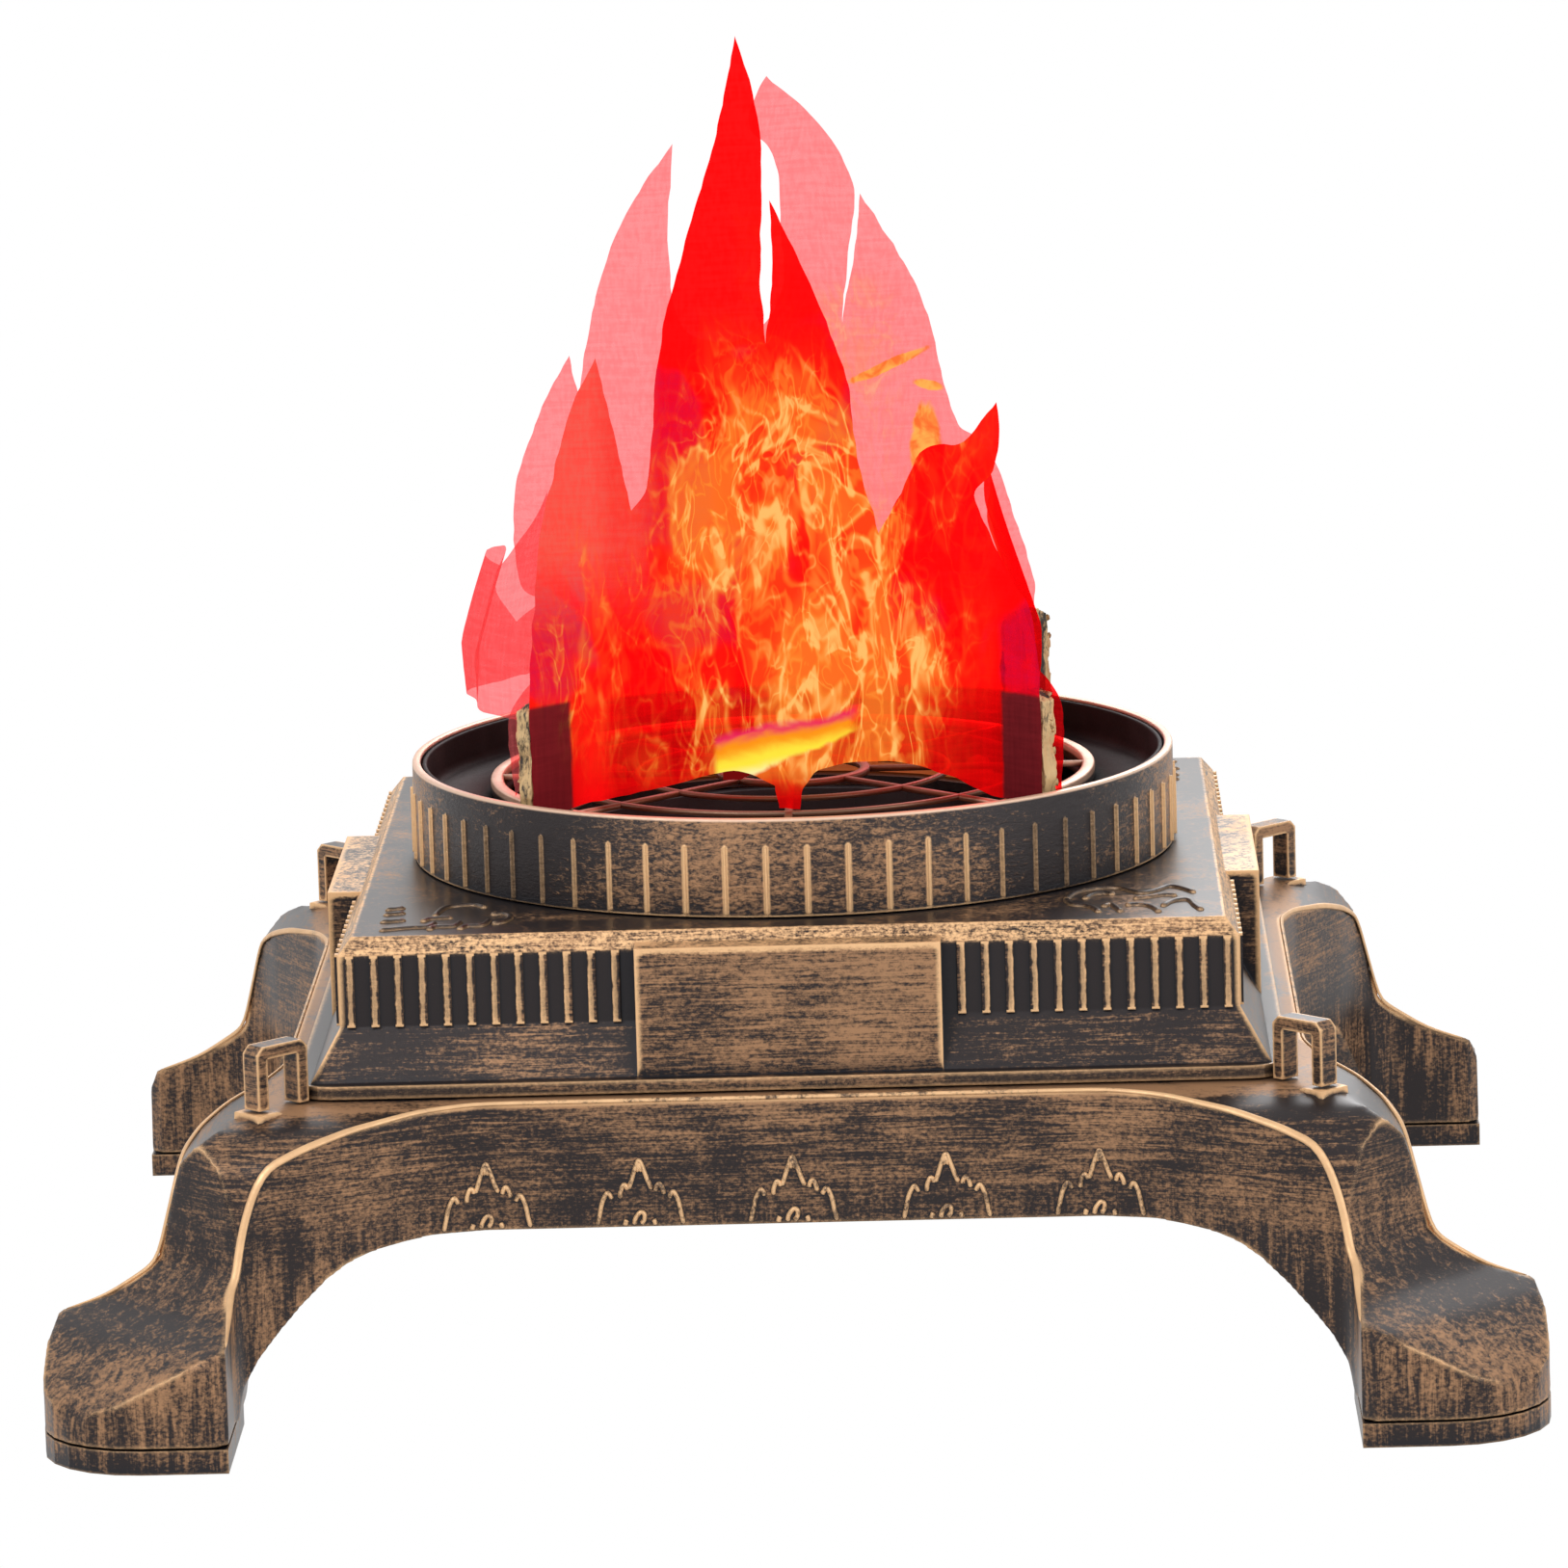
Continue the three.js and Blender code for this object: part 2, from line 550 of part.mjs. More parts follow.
function legFrame() {
  const middle = apronInside;
  const ledge = FRAME_TOP - FRAME_WALL;
  const legHollow = frameForm(FRAME_WALL).subtract(archPair(FRAME_WALL));
  const well = solid(box(-middle, middle, -middle, middle, -OVERRUN, ledge));
  const opening = solid(box(
    -ledgeOpeningHalf, ledgeOpeningHalf, -ledgeOpeningHalf, ledgeOpeningHalf,
    ledge - OVERRUN, FRAME_TOP + OVERRUN
  ));
  const seatHalfX = LOOP_WIDTH / 2 + LOOP_SEAT_EDGE;
  const seatHalfY = LOOP_DEPTH / 2 + LOOP_SEAT_EDGE;
  const seat = solid(box(
    loopReach - seatHalfX, loopReach + seatHalfX, -seatHalfY, seatHalfY,
    FRAME_TOP - LOOP_SEAT_DEPTH, FRAME_TOP
  ));
  const post = solid(rod(
    COVER_POST_R, coverTop + SEAT, ledge + OVERRUN, SMALL, coverPostPlace, coverPostPlace
  ));
  const pilot = solid(rod(
    SCREW_R + SEAT, coverTop - OVERRUN, coverTop + SCREW_BITE + OVERRUN, TINY,
    coverPostPlace, coverPostPlace
  ));
  const bossHole = solid(rod(
    SCREW_R + SEAT, ledge - OVERRUN, FRAME_TOP + OVERRUN, TINY, bossPlace, bossPlace
  ));
  const chassisHole = solid(rod(
    SCREW_R + SEAT, ledge - OVERRUN, FRAME_TOP + OVERRUN, TINY, chassisScrewPlace, 0
  ));
  const hollow = join([legHollow, well, opening]);
  return frameForm(0)
    .subtract(archPair(0))
    .add(join(ring(seat, 4, 45)))
    .subtract(hollow)
    .add(join(ring(post, 4)))
    .subtract(join([...ring(pilot, 4), ...ring(bossHole, 4), ...ring(chassisHole, 4)]));
}

// One foot's outline, in the corner where X and Y are positive
function footOutline(inset) {
  const inner = footInner + inset;
  const outer = footHalf - inset;
  return [[inner, inner], [outer, inner], ...footArc(outer, FOOT_CORNER_R - inset), [inner, outer]];
}

function footPad() {
  const sole = solid(upright(footOutline(0), 0, PAD_HEIGHT));
  const plug = solid(upright(
    footOutline(FRAME_WALL + 2 * SEAT), PAD_HEIGHT - OVERRUN, PAD_HEIGHT + PAD_PLUG
  ));
  return sole.add(plug);
}

// A loop stands in the plane of X and Z and is turned onto its diagonal by its group
function hangingLoop() {
  const half = LOOP_WIDTH / 2;
  const top = housingFoot + LOOP_HEIGHT;
  const strap = mirrored([
    [half - LOOP_STRAP, top - LOOP_STRAP],
    [half - LOOP_STRAP, housingFoot],
    [half, housingFoot],
    [half, top - LOOP_ROUND],
    [half - LOOP_ROUND, top]
  ]);
  return solid(alongY(strap, LOOP_DEPTH / 2)).translate([loopReach, 0, 0]);
}

// Housing

function housingForm(inset) {
  const low = inset ? housingFoot - OVERRUN : housingFoot;
  const path = offsetPath(
    [[skirtFootHalf, deckTop], [plinthHalf, skirtTop], [plinthHalf, fluteTop], [crownHalf, housingTop]],
    inset
  );
  const profile = mirrored([
    [path[0][0], low], ...path.slice(0, 3), [path[3][0], housingTop - inset]
  ]);
  const panelTop = housingTop - PANEL_DROP - inset;
  const half = PANEL_HALF - inset;
  const reach = panelReach - inset;
  return join([
    common([
      solid(alongY(profile, skirtFootHalf + OVERRUN)),
      solid(alongX(profile, skirtFootHalf + OVERRUN))
    ]),
    solid(box(-half, half, -reach, reach, low, panelTop)),
    solid(box(-reach, reach, -half, half, low, panelTop))
  ]);
}

function roundedSquare(half, radius, steps) {
  const points = [];
  for (let k = 0; k < 4; k++) {
    for (let i = 0; i <= steps; i++) {
      const angle = (Math.PI / 2) * (k + i / steps);
      const cx = (half - radius) * (k === 0 || k === 3 ? 1 : -1);
      const cy = (half - radius) * (k < 2 ? 1 : -1);
      points.push([cx + radius * Math.cos(angle), cy + radius * Math.sin(angle)]);
    }
  }
  return points;
}

function fluteBars() {
  const first = PANEL_HALF + FLUTE_MARGIN;
  const last = plinthHalf - FLUTE_MARGIN + FLUTE_WIDTH;
  const reach = plinthHalf + FLUTE_PROUD;
  const bars = [];
  for (let i = 0; i < FLUTES; i++) {
    const x = first + ((last - first) * i) / (FLUTES - 1);
    const bar = solid(box(x - FLUTE_WIDTH / 2, x + FLUTE_WIDTH / 2, -reach, reach, skirtTop, fluteTop));
    bars.push(bar, bar.rotate([0, 0, 90]), bar.rotate([0, 0, 180]), bar.rotate([0, 0, 270]));
  }
  return bars;
}

function housing() {
  const deck = solid(upright(roundedSquare(DECK_HALF, DECK_CORNER_R, DECK_STEPS), housingFoot, deckTop));
  const opening = solid(rod(drumR - CROWN_LEDGE, fluteTop - OVERRUN, housingTop + OVERRUN, ROUND));
  const boss = solid(rod(BOSS_R, housingFoot, housingTop - OVERRUN, SMALL, bossPlace, bossPlace));
  const pilot = solid(rod(
    SCREW_R + SEAT, housingFoot - OVERRUN, housingFoot + SCREW_BITE + OVERRUN, TINY, bossPlace, bossPlace
  ));
  const switchHole = solid(box(
    SWITCH_X - SWITCH_HALF_WIDTH - SEAT, SWITCH_X + SWITCH_HALF_WIDTH + SEAT,
    panelReach - HOUSING_WALL - OVERRUN, panelReach + OVERRUN,
    panelMiddle - SWITCH_HALF_HEIGHT - SEAT, panelMiddle + SWITCH_HALF_HEIGHT + SEAT
  ));
  const inletHole = solid(acrossPanel(
    rod(INLET_BARREL_R + SEAT, -HOUSING_WALL - OVERRUN, OVERRUN, SMALL), INLET_X
  ));
  return join([housingForm(0), deck, ...fluteBars()])
    .subtract(housingForm(HOUSING_WALL))
    .subtract(opening)
    .add(join(ring(boss, 4)))
    .subtract(join([...ring(pilot, 4), switchHole, inletHole]));
}

// Turns a piece made along Z so that it points out of the rear panel, its zero on the panel's face
function acrossPanel(geometry, x) {
  return geometry.rotateX(-Math.PI / 2).translate(x, panelReach, panelMiddle);
}

// Drum, bowl, guard and stakes

function drumRing() {
  const inner = drumInnerR;
  const flangeTop = drumFoot + DRUM_FLANGE_THICK;
  const wall = solid(turned([
    [drumFlangeR, drumFoot], [drumR, drumFoot], [drumR, drumTop - DRUM_EDGE],
    [drumR - DRUM_EDGE, drumTop], [inner, drumTop], [inner, flangeTop], [drumFlangeR, flangeTop]
  ], FINE));
  const ribFoot = drumFoot + DRUM_RIB_START;
  const rib = solid(box(
    drumR - DRUM_WALL / 2, drumR + DRUM_RIB_PROUD, -DRUM_RIB_WIDTH / 2, DRUM_RIB_WIDTH / 2,
    ribFoot, ribFoot + DRUM_RIB_HEIGHT
  ));
  return join([wall, ...ring(rib, DRUM_RIBS, 180 / DRUM_RIBS)]);
}

function bowlLiner() {
  const inner = bowlInnerR;
  const foot = drumFoot + DRUM_FLANGE_THICK + SEAT;
  return solid(turned([
    [bowlR, foot], [bowlR, drumTop - BOWL_DROP], [inner, drumTop - BOWL_DROP], [inner, bowlFloor],
    [bowlHoleR, bowlFloor], [bowlHoleR, bowlFloor - BOWL_FLOOR],
    [inner, bowlFloor - BOWL_FLOOR], [inner, foot]
  ], ROUND));
}

function fanGuard() {
  const foot = bowlFloor + SEAT;
  const band = (outer, inner) =>
    solid(turned([[inner, foot], [outer, foot], [outer, guardTop], [inner, guardTop]], ROUND));
  const rings = guardRingShares.map((share) => {
    const middle = guardR * share;
    return band(middle + GUARD_RING_WIDTH / 2, middle - GUARD_RING_WIDTH / 2);
  });
  const spoke = solid(box(
    GUARD_HUB_R - GUARD_RING_WIDTH / 2, guardR - GUARD_BAND / 2,
    -GUARD_SPOKE_WIDTH / 2, GUARD_SPOKE_WIDTH / 2, foot, guardTop
  ));
  return join([
    band(guardR, guardR - GUARD_BAND),
    ...rings,
    band(GUARD_HUB_R, GUARD_HUB_R - GUARD_BAND),
    ...ring(spoke, GUARD_SPOKES)
  ]);
}

// A stake stands in the plane of X and Z and is turned onto its diagonal by its group
function stake() {
  const foot = bowlFloor + SEAT;
  const last = stakeWaveShares.length - 1;
  const shoulder = STAKE_HEIGHT * stakeTopShares[0];
  const edge = (x, sign) => stakeWaveShares.map((share, i) => [
    x + sign * STAKE_WAVE * share,
    foot + (shoulder * i) / (last + 1)
  ]);
  const top = stakeTopShares.map((share, i) => [
    stakeOuter + ((stakeInner - stakeOuter) * i) / (stakeTopShares.length - 1),
    foot + STAKE_HEIGHT * share
  ]);
  const bark = [...edge(stakeOuter, 1), ...top, ...edge(stakeInner, 1).reverse()];
  return solid(alongY(bark, STAKE_THICK / 2));
}

// Silk

const silkFoot = guardTop + SEAT;

// How far a panel stands from the middle of the lamp, at a place across it and a height
function silkDepth(across, z, bulge) {
  const free = silkFoot + SILK_FREE_HEIGHT;
  const lean = Math.max(0, (z - free) / (silkFoot + SILK_HEIGHT - free));
  const base = silkBaseDepth - (silkBaseDepth - SILK_CREST_DEPTH) * lean;
  const shoulder = silkHalf - SILK_CORNER_REACH;
  const spread = Math.max(0, Math.abs(across) - shoulder) * (1 - smooth(free, free + SILK_BLEND_HEIGHT, z));
  const bow = Math.max(0, 1 - (across / shoulder) ** 2);
  const puff = bulge * smooth(silkFoot, silkFoot + SILK_BULGE_HEIGHT, z);
  const ripple = Math.sin((2 * Math.PI * across) / SILK_FOLD_PITCH) * bow *
    smooth(silkFoot, free, z) * SILK_FOLD_DEPTH;
  return base + spread + bow * (SILK_BELLY * (1 - lean) + puff) + ripple;
}

// A sheet that bends across Y, cut to a flame's outline in X and Z, on one side of the middle
function silkPanel(shares, bulge, side) {
  const cut = shares.map(([s, t]) => [silkHalf * s, silkFoot + SILK_HEIGHT * t]);
  const widest = Math.max(...cut.map(([x]) => Math.abs(x))) + OVERRUN;
  const highest = Math.max(...cut.map(([, z]) => z)) + OVERRUN;
  const lowest = silkFoot - OVERRUN;
  const sheet = new THREE.BoxGeometry(
    2 * widest, SILK_THICK, highest - lowest,
    Math.round((2 * widest) / SILK_STEP), 1, Math.round((highest - lowest) / SILK_STEP)
  );
  sheet.translate(0, 0, (highest + lowest) / 2);
  const places = sheet.attributes.position;
  for (let i = 0; i < places.count; i++) {
    places.setY(i, places.getY(i) + side * silkDepth(places.getX(i), places.getZ(i), bulge));
  }
  return solid(sheet).intersect(solid(alongY(cut, footHalf)));
}

function silkFlap() {
  const cut = flapShares.map(([s, t]) => [FLAP_HALF * s, silkFoot + FLAP_HEIGHT * t]);
  return solid(alongY(cut, SILK_THICK / 2)).translate([0, -FLAP_DEPTH, 0]);
}

// Fan

const motorFoot = fanFoot + STRUT_THICK + SEAT;
const motorTop = motorFoot + MOTOR_HEIGHT;
const shaftFoot = motorFoot + MOTOR_FLOOR + SEAT;
const hubFoot = fanFoot + STRUT_THICK + HUB_CLEARANCE;
const hubTop = hubFoot + HUB_HEIGHT;
const bearingBoreR = SHAFT_R + SHAFT_CLEARANCE;

function fanFrame() {
  const square = roundedSquare(fanHalf, FAN_CORNER_R, FAN_STEPS);
  const flange = (from) => solid(upright(square, from, from + FAN_FLANGE));
  const duct = solid(rod(ductR + FAN_DUCT_WALL, fanFoot, fanTop, HIDDEN));
  const bore = solid(rod(ductR, fanFoot - OVERRUN, fanTop + OVERRUN, HIDDEN));
  const hole = solid(rod(
    FAN_HOLE_R, fanFoot - OVERRUN, fanTop + OVERRUN, TINY, fanHolePlace, fanHolePlace
  ));
  const strut = solid(box(
    0, ductR + FAN_DUCT_WALL / 2, -STRUT_WIDTH / 2, STRUT_WIDTH / 2, fanFoot, fanFoot + STRUT_THICK
  ));
  return join([flange(fanFoot), flange(fanTop - FAN_FLANGE), duct])
    .subtract(join([bore, ...ring(hole, 4)]))
    .add(join(ring(strut, STRUTS, 45)))
    .add(solid(rod(MOTOR_R, fanFoot, fanFoot + STRUT_THICK, HIDDEN)));
}

function fanMotor() {
  const bore = BEARING_R + SEAT;
  return turned([
    [0, motorFoot], [MOTOR_R, motorFoot], [MOTOR_R, motorTop], [bore, motorTop],
    [bore, motorFoot + MOTOR_FLOOR], [0, motorFoot + MOTOR_FLOOR]
  ], HIDDEN);
}

function fanBearing() {
  return turned([
    [bearingBoreR, shaftFoot], [BEARING_R, shaftFoot], [BEARING_R, motorTop], [bearingBoreR, motorTop]
  ], SMALL);
}

// One blade as a loft of lens-shaped sections, standing along X
function fanBlade() {
  const middle = (hubFoot + hubTop) / 2;
  const rootR = HUB_R - HUB_WALL / 2;
  const places = [];
  for (let i = 0; i < BLADE_STATIONS; i++) {
    const t = i / (BLADE_STATIONS - 1);
    const radius = rootR + (bladeR - rootR) * t;
    const chord = BLADE_ROOT_CHORD + (BLADE_TIP_CHORD - BLADE_ROOT_CHORD) * t;
    const pitch = THREE.MathUtils.degToRad(BLADE_ROOT_PITCH + (BLADE_TIP_PITCH - BLADE_ROOT_PITCH) * t);
    bladeSectionShares.forEach(([s, h]) => {
      const along = s * chord;
      const thick = h * BLADE_THICK;
      const turn = (along * Math.cos(pitch) - thick * Math.sin(pitch)) / radius;
      places.push(
        radius * Math.cos(turn), radius * Math.sin(turn),
        middle + along * Math.sin(pitch) + thick * Math.cos(pitch)
      );
    });
  }
  const sides = bladeSectionShares.length;
  const faces = [];
  for (let i = 0; i < BLADE_STATIONS - 1; i++) {
    for (let j = 0; j < sides; j++) {
      const a = i * sides + j;
      const b = i * sides + (j + 1) % sides;
      faces.push(a, b, b + sides, a, b + sides, a + sides);
    }
  }
  const last = (BLADE_STATIONS - 1) * sides;
  for (let j = 1; j < sides - 1; j++) {
    faces.push(0, j + 1, j, last, last + j, last + j + 1);
  }
  const geometry = new THREE.BufferGeometry();
  geometry.setAttribute('position', new THREE.Float32BufferAttribute(places, 3));
  geometry.setIndex(faces);
  return solid(geometry);
}

function impeller() {
  const cup = solid(turned([
    [HUB_R - HUB_WALL, hubFoot], [HUB_R, hubFoot], [HUB_R, hubTop - HUB_WALL], [HUB_R - HUB_WALL, hubTop],
    [0, hubTop], [0, hubTop - HUB_WALL], [HUB_R - HUB_WALL, hubTop - HUB_WALL]
  ], HIDDEN));
  return join([cup, ...ring(fanBlade(), BLADES)]);
}

const fanShaft = () => rod(SHAFT_R, shaftFoot, hubTop - HUB_WALL - SEAT, SMALL);

// Lamps

function lampBoard() {
  const foot = fanTop + SEAT;
  return turned([
    [lampBoardInnerR, foot], [lampBoardR, foot],
    [lampBoardR, foot + BOARD_THICK], [lampBoardInnerR, foot + BOARD_THICK]
  ], HIDDEN);
}

function lampLens() {
  const foot = fanTop + SEAT + BOARD_THICK + SEAT;
  const shoulder = foot + LAMP_HEIGHT - LAMP_R;
  const middle = (lampBoardInnerR + lampBoardR) / 2;
  const band = solid(turned([
    [middle - LENS_BAND / 2, foot], [middle + LENS_BAND / 2, foot],
    [middle + LENS_BAND / 2, foot + LENS_THICK], [middle - LENS_BAND / 2, foot + LENS_THICK]
  ], HIDDEN));
  const dome = solid(turned([
    [0, foot], [LAMP_R, foot], [LAMP_R, shoulder],
    [LAMP_R * Math.SQRT1_2, shoulder + LAMP_R * Math.SQRT1_2], [0, foot + LAMP_HEIGHT]
  ], TINY)).translate([middle, 0, 0]);
  return join([band, ...ring(dome, LAMPS, 180 / LAMPS)]);
}

// Chassis plate and driver board

const driverFoot = chassisTop + STANDOFF_HEIGHT + SEAT;
const driverNear = fanHalf + STANDOFF_R + SEAT;
const driverDepth = chassisHalf - DRIVER_MARGIN - driverNear;
const driverMiddle = driverNear + driverDepth / 2;

function chassisPlate() {
  const plate = solid(box(-chassisHalf, chassisHalf, -chassisHalf, chassisHalf, housingFoot, chassisTop));
  const mouth = solid(rod(ductR, housingFoot - OVERRUN, chassisTop + OVERRUN, HIDDEN));
  const hole = (x, y) => solid(rod(SCREW_R + SEAT, housingFoot - OVERRUN, chassisTop + OVERRUN, TINY, x, y));
  const holes = [...ring(hole(chassisScrewPlace, 0), 4), ...ring(hole(fanHolePlace, fanHolePlace), 4)];
  const standoffs = [-1, 1].flatMap((sideX) => [-1, 1].map((sideY) => solid(rod(
    STANDOFF_R, chassisTop - CHASSIS_THICK / 2, driverFoot - SEAT, TINY,
    DRIVER_CENTRE_X + sideX * (DRIVER_WIDTH / 2 - STANDOFF_R),
    driverMiddle + sideY * (driverDepth / 2 - STANDOFF_R)
  ))));
  return join([plate, ...standoffs]).subtract(join([mouth, ...holes]));
}

const driverBoard = () => box(
  DRIVER_CENTRE_X - DRIVER_WIDTH / 2, DRIVER_CENTRE_X + DRIVER_WIDTH / 2,
  driverMiddle - driverDepth / 2, driverMiddle + driverDepth / 2,
  driverFoot, driverFoot + BOARD_THICK
);

const partsFoot = driverFoot + BOARD_THICK + SEAT;
const capacitorX = DRIVER_CENTRE_X - DRIVER_WIDTH / 2 + BOARD_PART_GAP + CAPACITOR_R;
const chokeX = capacitorX + CAPACITOR_R + BOARD_PART_GAP + CHOKE_R;
const terminalX = DRIVER_CENTRE_X + DRIVER_WIDTH / 2 - TERMINAL_WIDTH / 2;
const chipX = (chokeX + CHOKE_R + terminalX - TERMINAL_WIDTH / 2) / 2; // midway between its neighbours

const capacitor = () =>
  rod(CAPACITOR_R, partsFoot, partsFoot + CAPACITOR_HEIGHT, SMALL, capacitorX, driverMiddle);

const choke = () => turned([
  [CHOKE_HOLE_R, partsFoot], [CHOKE_R, partsFoot],
  [CHOKE_R, partsFoot + CHOKE_HEIGHT], [CHOKE_HOLE_R, partsFoot + CHOKE_HEIGHT]
], SMALL).translate(chokeX, driverMiddle, 0);

const boardBlock = (x, width, depth, height) => box(
  x - width / 2, x + width / 2, driverMiddle - depth / 2, driverMiddle + depth / 2,
  partsFoot, partsFoot + height
);

// Rear panel

const pivotOut = -PIVOT_SETBACK; // from the panel's face, outwards

// A block whose outward direction is Z while it is made
const panelBlock = (halfX, halfZ, from, to) => box(-halfX, halfX, -halfZ, halfZ, from, to);

function switchBody() {
  const front = SEAT + BEZEL_THICK;
  const pocketHalf = ROCKER_HALF_HEIGHT + ROCKER_SWEEP;
  const bezel = solid(panelBlock(
    SWITCH_HALF_WIDTH + BEZEL_EDGE, SWITCH_HALF_HEIGHT + BEZEL_EDGE, SEAT, front
  ));
  const body = solid(panelBlock(
    SWITCH_HALF_WIDTH, SWITCH_HALF_HEIGHT, front - SWITCH_DEPTH, front - OVERRUN
  ));
  const pocket = solid(panelBlock(
    ROCKER_HALF_WIDTH + SEAT, pocketHalf, front - ROCKER_POCKET_DEPTH, front + OVERRUN
  ));
  const pivotHole = solid(rod(
    PIVOT_R + SEAT, -SWITCH_HALF_WIDTH - OVERRUN, SWITCH_HALF_WIDTH + OVERRUN, TINY
  ).rotateY(Math.PI / 2).translate(0, 0, pivotOut));
  return bezel.add(body).subtract(pocket.add(pivotHole));
}

// The rocker's own zero is its pivot, and it tilts about X
function switchRocker() {
  const profile = [
    [0, ROCKER_VALLEY], [-ROCKER_HALF_HEIGHT, ROCKER_PROUD], [-ROCKER_HALF_HEIGHT, 0],
    [-ROCKER_BACK / 2, -ROCKER_BACK], [ROCKER_BACK / 2, -ROCKER_BACK],
    [ROCKER_HALF_HEIGHT, 0], [ROCKER_HALF_HEIGHT, ROCKER_PROUD]
  ];
  const body = solid(alongX(profile, ROCKER_HALF_WIDTH));
  const pivotHalf = ROCKER_HALF_WIDTH + PIVOT_LENGTH;
  const pivot = solid(rod(PIVOT_R, -pivotHalf, pivotHalf, TINY).rotateY(Math.PI / 2));
  return body.add(pivot);
}

function powerInlet() {
  const front = SEAT + INLET_FLANGE_THICK;
  return turned([
    [0, front - INLET_DEPTH], [INLET_BARREL_R, front - INLET_DEPTH], [INLET_BARREL_R, SEAT],
    [INLET_FLANGE_R, SEAT], [INLET_FLANGE_R, front], [INLET_BORE_R, front],
    [INLET_BORE_R, front - INLET_BORE_DEPTH], [0, front - INLET_BORE_DEPTH]
  ], SMALL);
}

const inletPin = () =>
  rod(INLET_PIN_R, SEAT + INLET_FLANGE_THICK - INLET_BORE_DEPTH + SEAT, 0, TINY);

function inletNut() {
  const top = -HOUSING_WALL - SEAT;
  const hex = [];
  for (let i = 0; i < 6; i++) {
    const angle = (Math.PI * i) / 3;
    hex.push([INLET_NUT_R * Math.cos(angle), INLET_NUT_R * Math.sin(angle)]);
  }
  const body = solid(upright(hex, top - INLET_NUT_THICK, top));
  const hole = solid(rod(INLET_BARREL_R + SEAT, top - INLET_NUT_THICK - OVERRUN, top + OVERRUN, SMALL));
  return body.subtract(hole);
}

// Base cover

function baseCover() {
  const half = apronInside - COVER_CLEARANCE;
  const plate = solid(box(-half, half, -half, half, coverBottom, coverTop));
  const vents = [];
  for (let i = 0; i < VENTS; i++) {
    const x = (i - (VENTS - 1) / 2) * ventPitch;
    const reach = Math.sqrt(ventFieldR ** 2 - x ** 2);
    vents.push(solid(box(
      x - VENT_WIDTH / 2, x + VENT_WIDTH / 2, -reach, reach, coverBottom - OVERRUN, coverTop + OVERRUN
    )));
  }
  const hole = solid(rod(
    SCREW_R + SEAT, coverBottom - OVERRUN, coverTop + OVERRUN, TINY, coverPostPlace, coverPostPlace
  ));
  return plate.subtract(join([...vents, ...ring(hole, 4)]));
}

// A pan-head screw with its shank pointing up and the seat of its head at zero
function screw(length) {
  return turned([
    [0, -SCREW_HEAD], [SCREW_HEAD_R - SCREW_CHAMFER, -SCREW_HEAD],
    [SCREW_HEAD_R, -SCREW_HEAD + SCREW_CHAMFER], [SCREW_HEAD_R, 0], [SCREW_R, 0],
    [SCREW_R, length], [0, length]
  ], TINY);
}

// Assembly

const lamp = new THREE.Group();

function piece(parent, name, form, material) {
  const body = form.getMesh ? form : solid(form);
  const mesh = new THREE.Mesh(shell(body), material);
  mesh.name = name;
  parent.add(mesh);
  return mesh;
}

piece(lamp, 'leg_frame', legFrame(), BRONZE);
piece(lamp, 'base_cover', baseCover(), DARK_PLASTIC);
piece(lamp, 'housing', housing(), BRONZE);
piece(lamp, 'drum_ring', drumRing(), BRONZE);
piece(lamp, 'bowl_liner', bowlLiner(), BLACK);
piece(lamp, 'fan_guard', fanGuard(), COPPER);

const corners = ['rear_right', 'rear_left', 'front_left', 'front_right'];
corners.forEach((corner, k) => {
  const square = new THREE.Group();
  square.rotation.z = (Math.PI / 2) * k;
  piece(square, `foot_pad_${corner}`, footPad(), FOOT_CAP);
  const diagonal = new THREE.Group();
  diagonal.rotation.z = Math.PI / 4;
  piece(diagonal, `hanging_loop_${corner}`, hangingLoop(), BRONZE);
  piece(diagonal, `stake_${corner}`, stake(), BARK);
  square.add(diagonal);
  lamp.add(square);
});

piece(lamp, 'silk_front', silkPanel(frontFlameShares, 0, -1), RED_SILK);
piece(lamp, 'silk_rear', silkPanel(rearFlameShares, 0, 1), PINK_SILK);
const sides = new THREE.Group();
sides.rotation.z = Math.PI / 2;
lamp.add(sides);
piece(sides, 'silk_left', silkPanel(sideFlameShares, SILK_LEFT_BULGE, 1), PINK_SILK);
piece(sides, 'silk_right', silkPanel(sideFlameShares, SILK_RIGHT_BULGE, -1), RED_SILK);
piece(lamp, 'silk_flap', silkFlap(), AMBER_SILK);

piece(lamp, 'chassis_plate', chassisPlate(), STEEL);
piece(lamp, 'fan_frame', fanFrame(), DARK_PLASTIC);
piece(lamp, 'fan_motor', fanMotor(), STEEL);
piece(lamp, 'fan_bearing', fanBearing(), BRASS);
piece(lamp, 'fan_shaft', fanShaft(), STEEL);
piece(lamp, 'impeller', impeller(), DARK_PLASTIC);
piece(lamp, 'lamp_board', lampBoard(), CIRCUIT);
piece(lamp, 'lamp_lens', lampLens(), LAMP_LENS);
piece(lamp, 'driver_board', driverBoard(), CIRCUIT);
piece(lamp, 'capacitor', capacitor(), DARK_PLASTIC);
piece(lamp, 'choke', choke(), BRASS);
piece(lamp, 'driver_chip', boardBlock(chipX, CHIP_SIZE, CHIP_SIZE, CHIP_HEIGHT), DARK_PLASTIC);
const terminal = boardBlock(terminalX, TERMINAL_WIDTH, TERMINAL_DEPTH, TERMINAL_HEIGHT);
piece(lamp, 'terminal_block', terminal, CIRCUIT);

